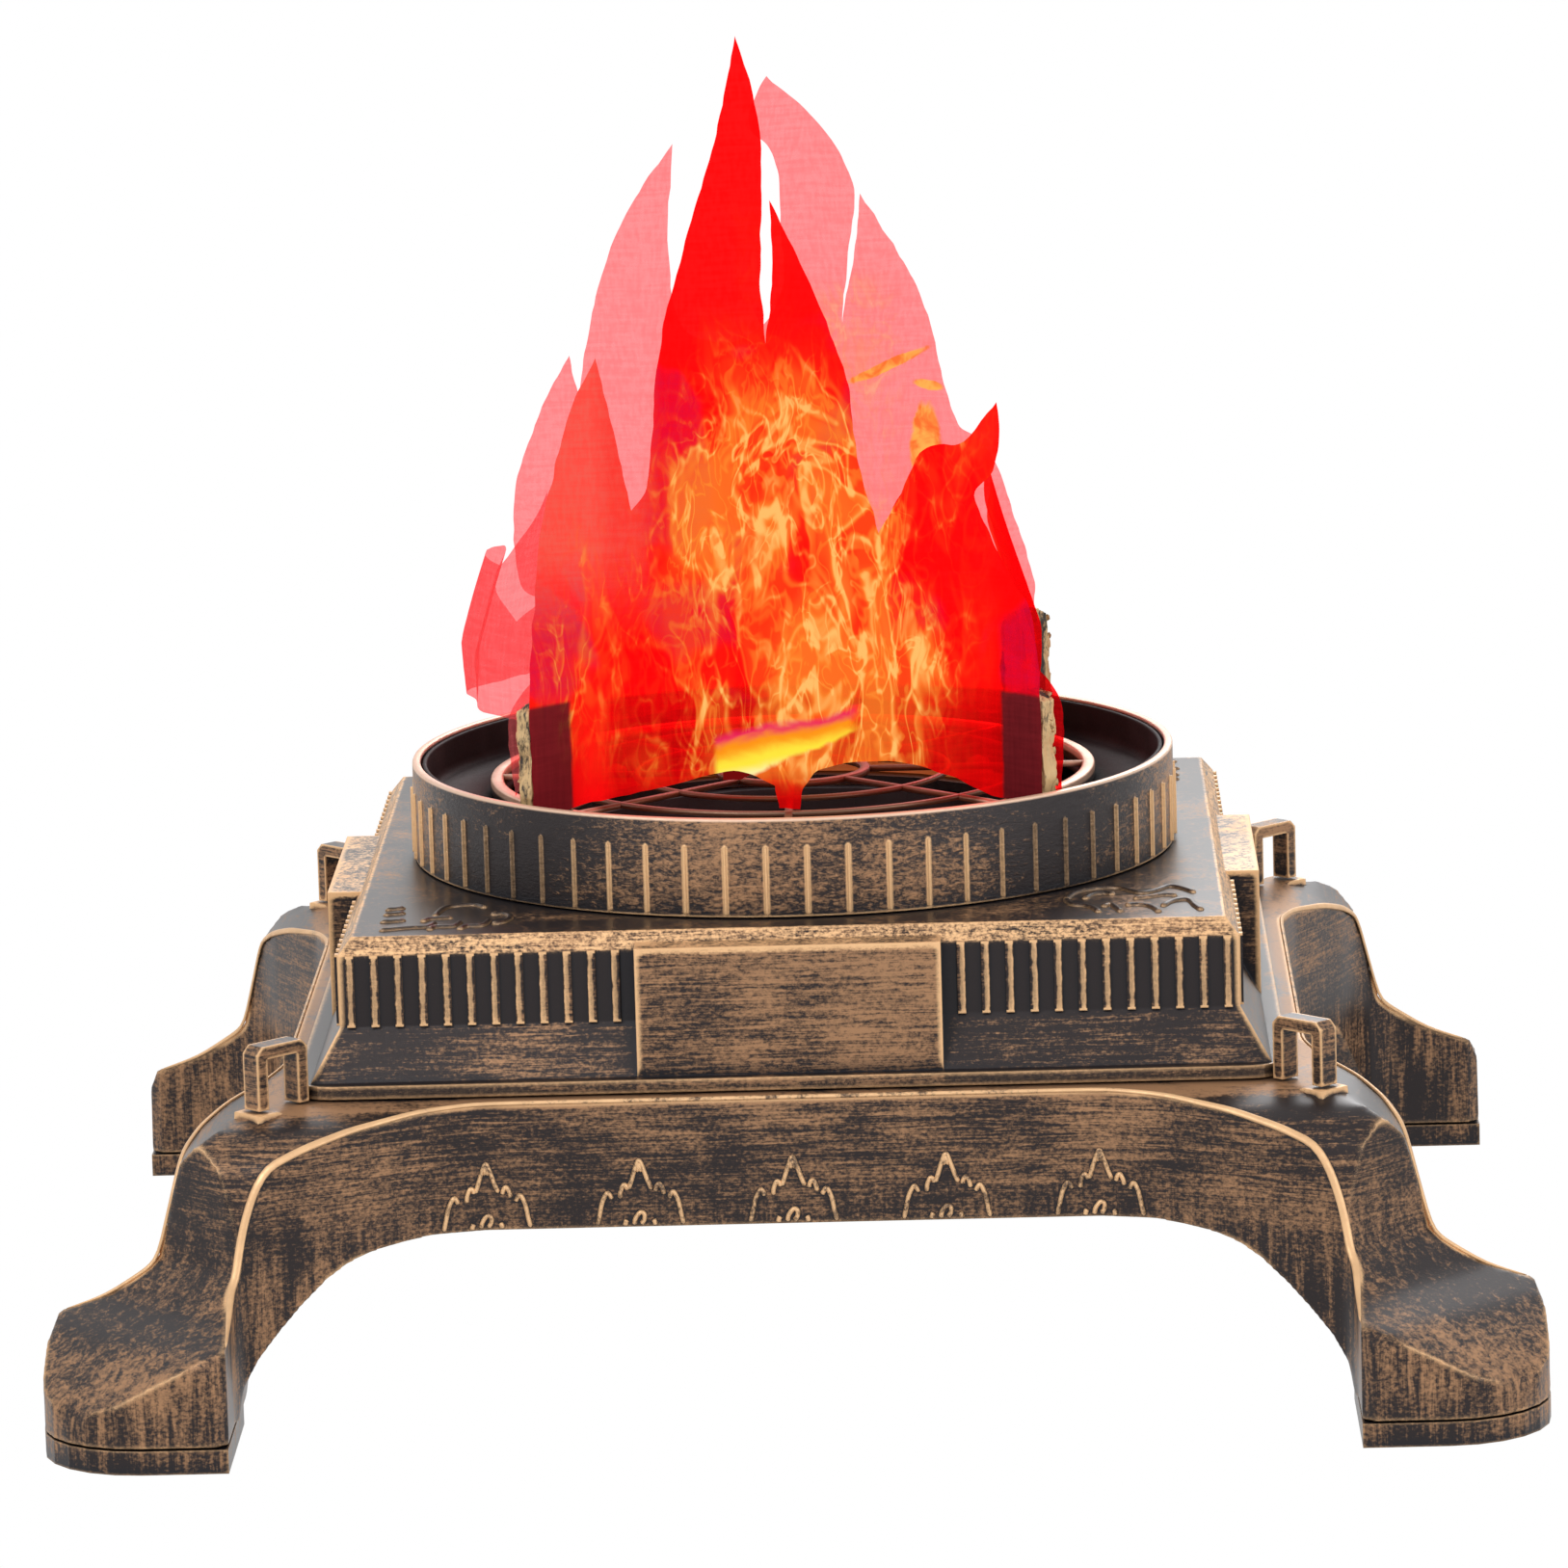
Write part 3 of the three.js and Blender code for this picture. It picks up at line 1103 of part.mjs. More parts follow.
const rearPanel = (x) => {
  const place = new THREE.Group();
  place.rotation.x = -Math.PI / 2;
  place.position.set(x, panelReach, panelMiddle);
  lamp.add(place);
  return place;
};
const switchPlace = rearPanel(SWITCH_X);
piece(switchPlace, 'switch_body', switchBody(), DARK_PLASTIC);
const inletPlace = rearPanel(INLET_X);
piece(inletPlace, 'power_inlet', powerInlet(), DARK_PLASTIC);
piece(inletPlace, 'inlet_pin', inletPin(), STEEL);
piece(inletPlace, 'inlet_nut', inletNut(), STEEL);

const rocker = piece(switchPlace, 'switch_rocker', switchRocker(), DARK_PLASTIC);
rocker.position.z = pivotOut;
rocker.rotation.x = THREE.MathUtils.degToRad(ROCKER_TILT);

// Screws, four of a kind, each in a quarter of the lamp
function screwSet(name, length, x, y, z, turn = 0) {
  for (let k = 0; k < 4; k++) {
    const quarter = new THREE.Group();
    quarter.rotation.z = (Math.PI / 2) * k;
    const mesh = piece(quarter, `${name}_${k + 1}`, screw(length), STEEL);
    mesh.position.set(x, y, z);
    mesh.rotation.x = turn;
    lamp.add(quarter);
  }
}

const ledgeUnder = FRAME_TOP - FRAME_WALL - SEAT;
screwSet('housing_screw', FRAME_WALL + 2 * SEAT + SCREW_BITE, bossPlace, bossPlace, ledgeUnder);
screwSet(
  'cover_screw', COVER_THICK + 2 * SEAT + SCREW_BITE, coverPostPlace, coverPostPlace, coverBottom - SEAT
);
screwSet('fan_screw', CHASSIS_THICK + 2 * SEAT + FAN_FLANGE, fanHolePlace, fanHolePlace, housingFoot - SEAT);
screwSet(
  'chassis_screw', CHASSIS_THICK + 2 * SEAT + FRAME_WALL, chassisScrewPlace, 0, chassisTop + SEAT, Math.PI
);

export default lamp;
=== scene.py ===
"""The looks of a silk flame effect light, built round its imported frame. Metres, +Z up, -Y is the front."""

import math

import bmesh
import bpy
import numpy as np
from mathutils import Matrix, Vector, kdtree, noise
from mathutils.bvhtree import BVHTree
from mathutils.geometry import delaunay_2d_cdt


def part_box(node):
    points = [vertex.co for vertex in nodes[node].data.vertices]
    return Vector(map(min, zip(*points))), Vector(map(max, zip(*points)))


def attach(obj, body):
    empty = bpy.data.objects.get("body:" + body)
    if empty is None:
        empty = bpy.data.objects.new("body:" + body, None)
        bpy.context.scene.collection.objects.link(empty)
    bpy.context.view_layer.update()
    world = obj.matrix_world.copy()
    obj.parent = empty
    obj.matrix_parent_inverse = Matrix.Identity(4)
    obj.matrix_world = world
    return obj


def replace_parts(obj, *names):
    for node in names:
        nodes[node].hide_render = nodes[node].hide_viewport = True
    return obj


MM = 0.001
CORNERS = ("rear_right", "rear_left", "front_left", "front_right")

# Camera, fitted to the photograph
CAMERA_ELEVATION = math.radians(10.59)
CAMERA_AZIMUTH = math.radians(1.357)
CAMERA_ROLL = math.radians(1.649)
CAMERA_DISTANCE = 1502.9 * MM
CAMERA_TARGET = Vector((-1.566 * MM, 0, 86.468 * MM))
CAMERA_LENS = 203.1
CAMERA_SENSOR = 36
CAMERA_CLIP = (0.05, 20)

# Finishes, in linear light
BRONZE_DARK = (0.018, 0.0125, 0.013, 1)
BRONZE_DEEP = (0.010, 0.010, 0.014, 1)
BRONZE_GOLD = (0.42, 0.225, 0.112, 1)
BRONZE_EDGE = (0.80, 0.49, 0.25, 1)
COPPER_PALE = (0.74, 0.50, 0.36, 1)

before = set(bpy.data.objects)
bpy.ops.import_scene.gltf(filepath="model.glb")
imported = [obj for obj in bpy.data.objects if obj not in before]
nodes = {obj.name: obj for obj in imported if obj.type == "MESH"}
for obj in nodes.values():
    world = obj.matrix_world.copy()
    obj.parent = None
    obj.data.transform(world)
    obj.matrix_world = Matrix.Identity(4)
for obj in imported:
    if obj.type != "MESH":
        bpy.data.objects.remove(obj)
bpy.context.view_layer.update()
noise.seed_set(1) # or noise_vector would follow the clock


# Shader helpers

class Field:
    """A value in a shader tree, for sums and products with other values and with numbers."""

    def __init__(self, tree, socket):
        self.tree = tree
        self.socket = socket

    def calc(self, operation, *others):
        return add(self.tree, "ShaderNodeMath", dict(enumerate((self, *others))), operation=operation)

    def __add__(self, other):
        return self.calc("ADD", other)

    def __sub__(self, other):
        return self.calc("SUBTRACT", other)

    def __mul__(self, other):
        return self.calc("MULTIPLY", other)

    def __truediv__(self, other):
        return self.calc("DIVIDE", other)

    def __abs__(self):
        return self.calc("ABSOLUTE")

    def clamped(self):
        """The same value, held between 0 and 1."""
        self.socket.node.use_clamp = True
        return self


def add(tree, kind, inputs=None, out=0, **settings):
    """A node with its settings, values and links, as the value that it gives."""
    made = tree.nodes.new(kind)
    for key, value in settings.items():
        setattr(made, key, value)
    for key, value in (inputs or {}).items():
        if isinstance(value, Field):
            tree.links.new(value.socket, made.inputs[key])
        else:
            made.inputs[key].default_value = value
    return Field(tree, made.outputs[out])


def blend(share, first, second):
    """A colour between two, by a share."""
    return add(share.tree, "ShaderNodeMix", {0: share, 6: first, 7: second}, out=2, data_type="RGBA")


def mixed(share, first, second):
    """A number between two, by a share."""
    return add(share.tree, "ShaderNodeMix", {0: share, 2: first, 3: second}, data_type="FLOAT")


def over(share, under, upper):
    """A surface that another covers by a share."""
    return add(under.tree, "ShaderNodeMixShader", {0: share, 1: under, 2: upper})


def glow(tree, colour, strength=1.0):
    return add(tree, "ShaderNodeEmission", {"Color": colour, "Strength": strength})


def span(start, end):
    """The two ends of a ramp, given in millimetres."""
    return start * MM, end * MM


def ramp(value, low, high, start=0.0, end=1.0, kind="SMOOTHSTEP"):
    """A value that runs from start at low to end at high."""
    inputs = {"Value": value, "From Min": low, "From Max": high, "To Min": start, "To Max": end}
    return add(value.tree, "ShaderNodeMapRange", inputs, interpolation_type=kind)


def place(tree):
    return add(tree, "ShaderNodeTexCoord", out="Object")


def axes(vector):
    """The X, Y and Z of a vector."""
    made = add(vector.tree, "ShaderNodeSeparateXYZ", {0: vector}).socket.node
    return [Field(vector.tree, socket) for socket in made.outputs]


def near(x, y):
    """How far a place lies from the nearer of the lamp's two middle planes."""
    return abs(x).calc("MINIMUM", abs(y))


def far(x, y):
    """How far a place lies from the farther of the lamp's two middle planes."""
    return abs(x).calc("MAXIMUM", abs(y))


def distance(x, y):
    return (x * x + y * y).calc("SQRT")


def noise_at(vector, scale, move, detail, roughness=0.5, distortion=0.0, out=0):
    """Noise at a vector that is scaled, then moved."""
    moved = add(vector.tree, "ShaderNodeMapping", {"Vector": vector, "Scale": scale, "Location": move})
    return add(vector.tree, "ShaderNodeTexNoise", {
        "Vector": moved, "Scale": 1.0, "Detail": detail, "Roughness": roughness, "Distortion": distortion,
    }, out=out)


def grain(tree, per_metre, detail=3.0, roughness=0.6, distortion=0.0, move=(0, 0, 0)):
    """Noise whose counts per metre along X, Y and Z are given."""
    return noise_at(place(tree), per_metre, move, detail, roughness, distortion)


def bump(height, depth, strength=1.0, normal=None):
    inputs = {"Height": height, "Distance": depth, "Strength": strength}
    if normal is not None:
        inputs["Normal"] = normal
    return add(height.tree, "ShaderNodeBump", inputs)


def material(shader):
    """Turns shader(tree, ...) into a function of a name and its other values that makes a material."""
    def named(name, *given, **settings):
        made = bpy.data.materials.new(name)
        made.use_nodes = True
        tree = made.node_tree
        tree.nodes.clear()
        output = tree.nodes.new("ShaderNodeOutputMaterial")
        tree.links.new(shader(tree, *given, **settings).socket, output.inputs["Surface"])
        return made
    return named


def coat(colour, rough, normal, metallic=0.0, specular=0.5):
    """A solid surface."""
    return add(normal.tree, "ShaderNodeBsdfPrincipled", {
        "Base Color": colour, "Roughness": rough, "Normal": normal,
        "Metallic": metallic, "Specular IOR Level": specular,
    })


def worn(tree, reach):
    """How near a point is to an outward edge, from 0 to 1, within a reach."""
    settings = {"inside": True, "only_local": True, "samples": 8}
    inside = add(tree, "ShaderNodeAmbientOcclusion", {"Distance": reach}, out="AO", **settings)
    return ramp(inside, 0.93, 0.55)


def sunk(tree, reach):
    """How deep a point lies in a corner, from 0 to 1, within a reach."""
    outside = add(tree, "ShaderNodeAmbientOcclusion", {"Distance": reach}, out="AO", samples=8)
    return ramp(outside, 0.95, 0.5)


# Bronze paint

PAINT_CORNER_REACH = 3.5 * MM # over which paint in a corner is darker
PAINT_EDGE_RADIUS = 0.35 * MM
PAINT_DEPTH = 0.10 * MM # of its strokes
PAINT_COARSE_DEPTH = 0.3 * MM
RIM_BELOW = 0.3 * MM # how far below a rim the pale copper starts
RIM_ABOVE = 0.1 * MM


@material
def bronze(tree, gold=0.5, foot=0.0, rim=None, edge=1.0, reach=1.5, plain=None, where=None,
           band=None, coarse=False):
    """Dark bronze paint, dry-brushed with gold: along its surfaces, and most on its edges.

    gold is the share of brushed gold, foot the height below which strokes run upright, rim the
    height above which the metal is pale copper, edge and reach the strength and reach in
    millimetres of its worn edges, plain a function that gives extra gold for a place, where
    one that gives the share of its worn edges, band one that gives where it is all worn, and
    coarse makes short, deep strokes."""
    x, y, z = axes(place(tree))
    facing = axes(add(tree, "ShaderNodeNewGeometry", out="Normal"))
    flat = ramp(abs(facing[2]), 0.80, 0.97)
    strokes = grain(tree, (330, 330, 1150) if coarse else (75, 75, 1500), 6, 0.75, 1.0)
    if foot:
        upright = grain(tree, (520, 520, 42), 6, 0.75, 0.7, move=(3, 1, 2))
        strokes = mixed(ramp(z, foot * 1.5, foot * 0.6), strokes, upright)
    speckle = grain(tree, (1300, 1300, 1900), 3, 0.7, move=(7, 5, 3))
    patches = grain(tree, (38, 38, 55), 3, 0.55, 0.4, move=(2, 9, 4))
    amount = strokes * 0.62 + speckle * 0.38 + patches * 0.34 - flat * 0.07
    if plain is not None:
        amount = amount + plain(x, y, z)
    centre = 0.80 - 0.26 * gold
    brushed = ramp(amount, centre - 0.07, centre + 0.13)
    edges = worn(tree, reach * MM) * edge
    if where is not None:
        edges = edges * where(x, y, z)
    ragged = speckle * 1.1 - 0.25
    edges = ramp(edges * 1.15 + ragged * 0.35, 0.28, 0.95)
    corners = sunk(tree, PAINT_CORNER_REACH)
    lifted = (brushed - corners * 0.7).clamped()
    ground = blend(corners, BRONZE_DARK, BRONZE_DEEP)
    colour = blend(lifted * 0.85, ground, BRONZE_GOLD)
    colour = blend(edges, colour, BRONZE_EDGE)
    if band is not None:
        rubbed = ramp(strokes * 0.5 + speckle * 0.5, 0.42, 0.60) * band(x, y, z)
        colour = blend(rubbed, colour, BRONZE_EDGE)
    if rim is not None:
        colour = blend(ramp(z, rim - RIM_BELOW, rim + RIM_ABOVE), colour, COPPER_PALE)
    height = (strokes * 0.6 + speckle * 0.4) * ramp(flat, 0, 1, 1.0, 0.25)
    round_edges = add(tree, "ShaderNodeBevel", {"Radius": PAINT_EDGE_RADIUS}, samples=4)
    depth = PAINT_COARSE_DEPTH if coarse else PAINT_DEPTH
    return coat(colour, ramp(lifted, 0, 1, 0.34, 0.52), bump(height, depth, 0.7, round_edges), 0.35, 0.4)


# Where the bronze changes: heights, and places aside from the middle planes
FOOT_STROKES = 30 * MM # below which the legs' strokes run upright
TOE_ASIDE = span(91.5, 94)
TOE_RISE = span(6, 8)
ARCH_RISE = span(36, 32)
ARCH_ASIDE = span(78, 62)
LEG_RISE = span(21, 27)
FRAME_LIP = span(49.5, 50.6)
DECK_FOOT = span(53, 55)
PLINTH_FACE = span(73.2, 73.4)
PLINTH_GROUND = span(73.5, 73.0)
FLUTE_FIRST = 28.2 * MM
FLUTE_PITCH = 43.0 / 11 * MM
FLUTE_FOOT = span(61.9, 62.2)
FLUTE_HEAD = span(73.3, 73.0)
FLUTE_ASIDE = span(26.2, 26.6)
BETWEEN_FOOT = span(61.5, 61.9)
BETWEEN_HEAD = span(73.5, 73.1)
CROWN_FOOT = span(73.2, 73.8)
CROWN_FACE = span(70.4, 70.9)
PANEL_FACE = span(77.2, 77.8)
PANEL_ASIDE = span(25.2, 24.7)
HOUSING_LID = span(75.9, 76.1)
DRUM_RIM = 92.45 * MM
DRUM_GOLD_ASIDE = span(14, 48)
DRUM_EDGE_ASIDE = span(12, 46)


def leg_edges(x, y, z):
    """The leg frame's worn edges: those of its aprons and toes, but not of its arches and soles."""
    aside = near(x, y)
    toe = ramp(aside, *TOE_ASIDE) * ramp(z, *TOE_RISE)
    off_arch = ramp(z, *ARCH_RISE) * ramp(aside, *ARCH_ASIDE) * -1 + 1
    return toe.calc("MAXIMUM", ramp(z, *LEG_RISE) * off_arch).calc("MAXIMUM", 0.3)


def leg_gold(x, y, z):
    """More gold on the leg frame's flat top, round the housing's foot."""
    return ramp(z, *FRAME_LIP, 0, 0.2)


def deck_edges(x, y, z):
    """The housing's worn edges, faint round the foot of its deck, and a thin line down each flute."""
    aside = near(x, y)
    turn = (aside * (1 / FLUTE_PITCH) + (0.5 - FLUTE_FIRST / FLUTE_PITCH)).calc("FRACT")
    patchy = grain(x.tree, (500, 500, 420), 3, 0.6)
    core = ramp(patchy * 0.16 + abs(turn - 0.5), 0.23, 0.11, 0.12, 1.0)
    fluted = ramp(far(x, y), *PLINTH_FACE) * ramp(aside, *FLUTE_ASIDE)
    fluted = fluted * ramp(z, *FLUTE_FOOT) * ramp(z, *FLUTE_HEAD)
    return mixed(fluted, 1.0, core) * ramp(z, *DECK_FOOT, 0.45, 1.0)


def crown_band(x, y, z):
    """The upright face round the housing's crown."""
    return ramp(z, *CROWN_FOOT) * ramp(far(x, y), *CROWN_FACE)


def housing_gold(x, y, z):
    """More gold on the housing's four panels, its crown and its lid, less between its flutes."""
    away = far(x, y)
    on_panel = ramp(away, *PANEL_FACE) * ramp(near(x, y), *PANEL_ASIDE)
    between = ramp(z, *BETWEEN_FOOT) * ramp(z, *BETWEEN_HEAD) * ramp(away, *PLINTH_GROUND)
    extra = crown_band(x, y, z) * 0.1 + on_panel * 0.085 + ramp(z, *HOUSING_LID, 0, 0.05)
    return extra - between * 0.24


def drum_gold(x, y, z):
    """More gold on the drum's front, back and sides than between them."""
    return ramp(near(x, y), *DRUM_GOLD_ASIDE, 0.05, -0.12)


def drum_edges(x, y, z):
    return ramp(near(x, y), *DRUM_EDGE_ASIDE, 1.0, 0.38)


# Other hard materials

PLASTIC_WEAR = 0.6 * MM
METAL_DEPTH = 0.03 * MM
TRACK_DEPTH = 0.05 * MM
BARK_WEAR = 0.9 * MM
BARK_DEPTH = 0.4 * MM
BARK_FACE = span(59.6, 60.8)
RELIEF_DEPTH = 0.08 * MM
RELIEF_ASIDE = span(15, 75)
COPPER_CORNER_REACH = 2 * MM
COPPER_DEPTH = 0.05 * MM
GUARD_SILK_SHADOW = span(47.5, 44) # from the middle, where painted shadow of the silk darkens the guard's inner bars
# heights below which painted shade darkens the undersides of the guard's bars
GUARD_UNDERSIDE_SHADE = span(88.5, 88.0)


@material
def plastic(tree, colour, rough=0.5, texture=0.05, shine=0.5):
    """Moulded plastic with faint wear on its edges and a grain whose depth is in millimetres."""
    pits = grain(tree, (2500, 2500, 2500), 3, 0.6)
    cloud = grain(tree, (60, 60, 60), 3, 0.5)
    light = tuple(min(1, c * 1.5 + 0.012) for c in colour[:3]) + (1,)
    shade = blend(ramp(cloud, 0.35, 0.7), colour, light)
    shade = blend(worn(tree, PLASTIC_WEAR) * 0.35, shade, light)
    roughness = ramp(pits, 0.2, 0.8, rough - 0.06, rough + 0.08)
    return coat(shade, roughness, bump(pits, texture * MM, 0.6), specular=shine)


@material
def metal(tree, colour, rough=0.32, stroke=(2500, 2500, 60)):
    """Bare metal with drawn grain."""
    lines = grain(tree, stroke, 3, 0.6)
    stain = grain(tree, (140, 140, 140), 3, 0.6)
    dull = tuple(0.72 * c for c in colour[:3]) + (1,)
    shade = blend(ramp(stain, 0.35, 0.7), colour, dull)
    return coat(shade, ramp(lines, 0.2, 0.8, rough - 0.08, rough + 0.12), bump(lines, METAL_DEPTH, 0.5), 1.0)


@material
def circuit(tree, plain, traced):
    """Solder mask over faint tracks."""
    inputs = {"Vector": place(tree), "Scale": 260.0}
    mask = ramp(add(tree, "ShaderNodeTexVoronoi", inputs, distance="MANHATTAN"), 0.28, 0.34)
    return coat(blend(mask, plain, traced), 0.35, bump(mask, TRACK_DEPTH, 0.6))


@material
def clear_lens(tree):
    """Clear warm plastic over lit lamps."""
    haze = grain(tree, (500, 500, 500), 3, 0.5)
    glass = add(tree, "ShaderNodeBsdfPrincipled", {
        "Base Color": (0.55, 0.30, 0.16, 1),
        "Roughness": ramp(haze, 0, 1, 0.3, 0.45),
        "Transmission Weight": 0.6,
    })
    return over(0.35, glass, glow(tree, blend(haze, (0.9, 0.10, 0.01, 1), (1.0, 0.26, 0.04, 1)), 0.5))


@material
def bark(tree):
    """Bark in dark brown, its ridges and its outer edges brushed with gold."""
    x, y, _ = axes(place(tree))
    ridges = grain(tree, (420, 420, 130), 5, 0.7, 1.2)
    fine = grain(tree, (1600, 1600, 900), 3, 0.7)
    amount = ridges * 0.7 + fine * 0.3
    outer = ramp(distance(x, y), *BARK_FACE).calc("MAXIMUM", worn(tree, BARK_WEAR) * 0.7)
    raised = ramp(outer * 0.13 + amount, 0.50, 0.64)
    colour = blend(raised, (0.028, 0.022, 0.017, 1), (0.62, 0.42, 0.20, 1))
    return coat(colour, ramp(raised, 0, 1, 0.7, 0.5), bump(amount, BARK_DEPTH, 0.8))


@material
def relief(tree, more=0.0, fading=False):
    """Raised lines brushed with bright gold, which can fade towards an apron's middle."""
    speck = grain(tree, (1500, 1500, 1500), 3, 0.7)
    patch = grain(tree, (260, 260, 260), 3, 0.6)
    amount = speck * 0.5 + patch * 0.5
    if fading:
        x, y, _ = axes(place(tree))
        amount = amount + ramp(near(x, y), *RELIEF_ASIDE, -0.10, 0.06)
    brushed = ramp(amount, 0.38 - more, 0.54 - more)
    gold = blend(patch, (0.52, 0.31, 0.16, 1), (0.86, 0.54, 0.28, 1))
    colour = blend(brushed, (0.10, 0.062, 0.04, 1), gold)
    return coat(colour, ramp(speck, 0.2, 0.8, 0.36, 0.55), bump(speck, RELIEF_DEPTH, 0.6), 0.35)


@material
def copper_paint_and_shade(tree):
    """Pale copper paint, darker in its corners, with painted shade towards the guard's middle, where the
    silk shades it, and under its bars.
    """
    x, y, z = axes(place(tree))
    speck = grain(tree, (1600, 1600, 1600), 3, 0.6)
    cloud = grain(tree, (120, 120, 120), 3, 0.5)
    shade = blend(ramp(cloud, 0.35, 0.68), (0.60, 0.33, 0.22, 1), (0.78, 0.50, 0.36, 1))
    shade = blend(sunk(tree, COPPER_CORNER_REACH) * 0.6, shade, (0.14, 0.06, 0.04, 1))
    # painted shadow of the silk over the guard's inner bars
    shade = blend(ramp(distance(x, y), *GUARD_SILK_SHADOW), shade, (0.17, 0.085, 0.05, 1))
    # painted shade under the bars
    shade = blend(ramp(z, *GUARD_UNDERSIDE_SHADE), shade, (0.020, 0.010, 0.008, 1))
    return coat(shade, ramp(speck, 0.2, 0.8, 0.30, 0.46), bump(speck, COPPER_DEPTH, 0.6), 0.55)


# Silk, and the lamp light painted on it as fire

WEAVE_DEPTH = 0.05 * MM
# Where the lamp light, painted on the silk as curling fire, lies on it
GLOW_ACROSS = 1 * MM
GLOW_HALF_WIDTH = 33.5 * MM
GLOW_MIDDLE = 120 * MM
GLOW_HALF_HEIGHT = 50 * MM
GLOW_FOOT = span(91, 97)
STREAMS = ( # [counts per metre, detail, distortion, move, push in metres], from broad to fine
    ((58, 58, 19), 3.0, 0.4, (7, 5, 4), (0.040, 0.040, 0.020)),
    ((105, 105, 32), 2.5, 0.5, (3, 6, 2), (0.026, 0.026, 0.014)),
    ((190, 190, 52), 2.0, 0.5, (9, 1, 4), (0.018, 0.018, 0.010)),
    ((330, 330, 90), 2.0, 0.4, (4, 6, 8), (0.011, 0.011, 0.007)),
)
LEFT_OF_FRONT = span(-27, -32) # where a stake behind the front silk has to be hidden
TOOTH_ASIDE = span(-19, -25) # the front silk's left tooth
TOOTH_RISE = span(116, 134)
# heights between which the painted pink glow on the front silk runs
MAGENTA_HEAD = span(180, 160)
MAGENTA_FOOT = span(106, 112)
# where the stakes' painted shadow falls on the front silk
STAKE_SHADOW_ROUGH = 0.8 * MM
STAKE_SHADOW_INNER = span(35.7, 36.4)
STAKE_SHADOW_OUTER = span(43.2, 42.6)
STAKE_SHADOW_HEAD = span(108.9, 108.1)
PATCH_ROUGH = 3.0 * MM
PATCH_ACROSS = span(-11.5, 12.6) # over which the lit patch's edges run
PATCH_UPPER = span(101.8, 106.6)
PATCH_LOWER = span(93.2, 102.6)
PATCH_UPPER_SOFT = span(-0.6, 1.0)
PATCH_LOWER_SOFT = span(-0.2, 0.8)
PATCH_LEFT = span(-12.4, -11.2)
PATCH_RIGHT = span(14.2, 11.4)
PATCH_ORANGE = span(0.5, 2.2) # depths below its upper edge
PATCH_YELLOW = span(2.0, 5.0)
PATCH_PALE = span(5.0, 8.0)
FLAP_FOOT_SHADE = span(6.5, 3.5) # heights above the flap's foot, below which painted shade darkens it


def stream(tree, scale, detail, distortion, move, push):
    """Noise that streams upwards, pushed about by slower noise."""
    def vectors(operation, first, second):
        return add(tree, "ShaderNodeVectorMath", {0: first, 1: second}, operation=operation)

    slow = tuple(0.42 * s for s in scale[:2]) + (0.8 * scale[2],)
    slower = noise_at(place(tree), slow, move, 2.0, out="Color")
    offset = vectors("MULTIPLY", vectors("SUBTRACT", slower, (0.5, 0.5, 0.5)), push)
    return noise_at(vectors("ADD", place(tree), offset), scale, move, detail, 0.5, distortion)


def vein(value, level, width):
    """A soft line where a value passes a level."""
    return ramp(abs(value - level), width, 0)


def wisps(tree):
    """Thin curling flames of lamp light, painted on as glow: how much they cover, from 0 to 1, and their
    colour.
    """
    x, _, z = axes(place(tree))
    broad, middle, thin, fine = (stream(tree, *given) for given in STREAMS)
    wander = grain(tree, (34, 34, 20), 2, 0.5, 0.5, move=(1, 4, 2))
    away = distance((x - GLOW_ACROSS) / GLOW_HALF_WIDTH, (z - GLOW_MIDDLE) / GLOW_HALF_HEIGHT)
    away = away + (wander * 1.2 - 0.6)
    within = ramp(away, 1.18, 0.66) * ramp(z, *GLOW_FOOT)
    core = ramp(away, 0.85, 0.1)
    soft = ramp(core * 0.13 + broad, 0.46, 0.66)
    lick = ramp(core * 0.09 + middle, 0.47, 0.64)
    veins = vein(broad, 0.50, 0.025) * 0.6 + vein(middle, 0.50, 0.040) * 0.8
    veins = veins + vein(thin, 0.51, 0.050) * 0.75 + vein(fine, 0.50, 0.055) * 0.45
    veins = veins * (soft * 0.55 + core * 0.2 + 0.3)
    glow_amount = (soft * 0.36 + lick * 0.30 + veins * 0.72).clamped()
    cover = glow_amount * within
    lit_colour = blend(ramp(cover, 0.1, 0.6), (1.0, 0.06, 0.01, 1), (1.0, 0.24, 0.025, 1))
    lit_colour = blend(ramp(veins * within, 0.30, 1.35), lit_colour, (1.0, 0.52, 0.14, 1))
    return cover, lit_colour


def with_licks(under, licks):
    """A surface with small separate flames of lamp light painted on it as glow.

    licks gives for each where it stands across and up, its half width and half height, all in
    millimetres, and its slope."""
    tree = under.tree
    x, _, z = axes(place(tree))
    rough = grain(tree, (260, 260, 190), 3, 0.55, 0.8)
    share = 0.0
    for across, height, width, rise, slope in licks:
        aside = x - across * MM
        above = (z - height * MM - aside * slope) / (rise * MM)
        aside = aside / (width * MM)
        away = aside * aside + above * above - 0.8 + rough * 1.6
        share = ramp(away, 1.0, 0.55).calc("MAXIMUM", share)
    colour = blend(ramp(rough, 0.35, 0.6), (1.0, 0.16, 0.02, 1), (1.0, 0.46, 0.08, 1))
    return over(share * 0.95, under, glow(tree, colour))


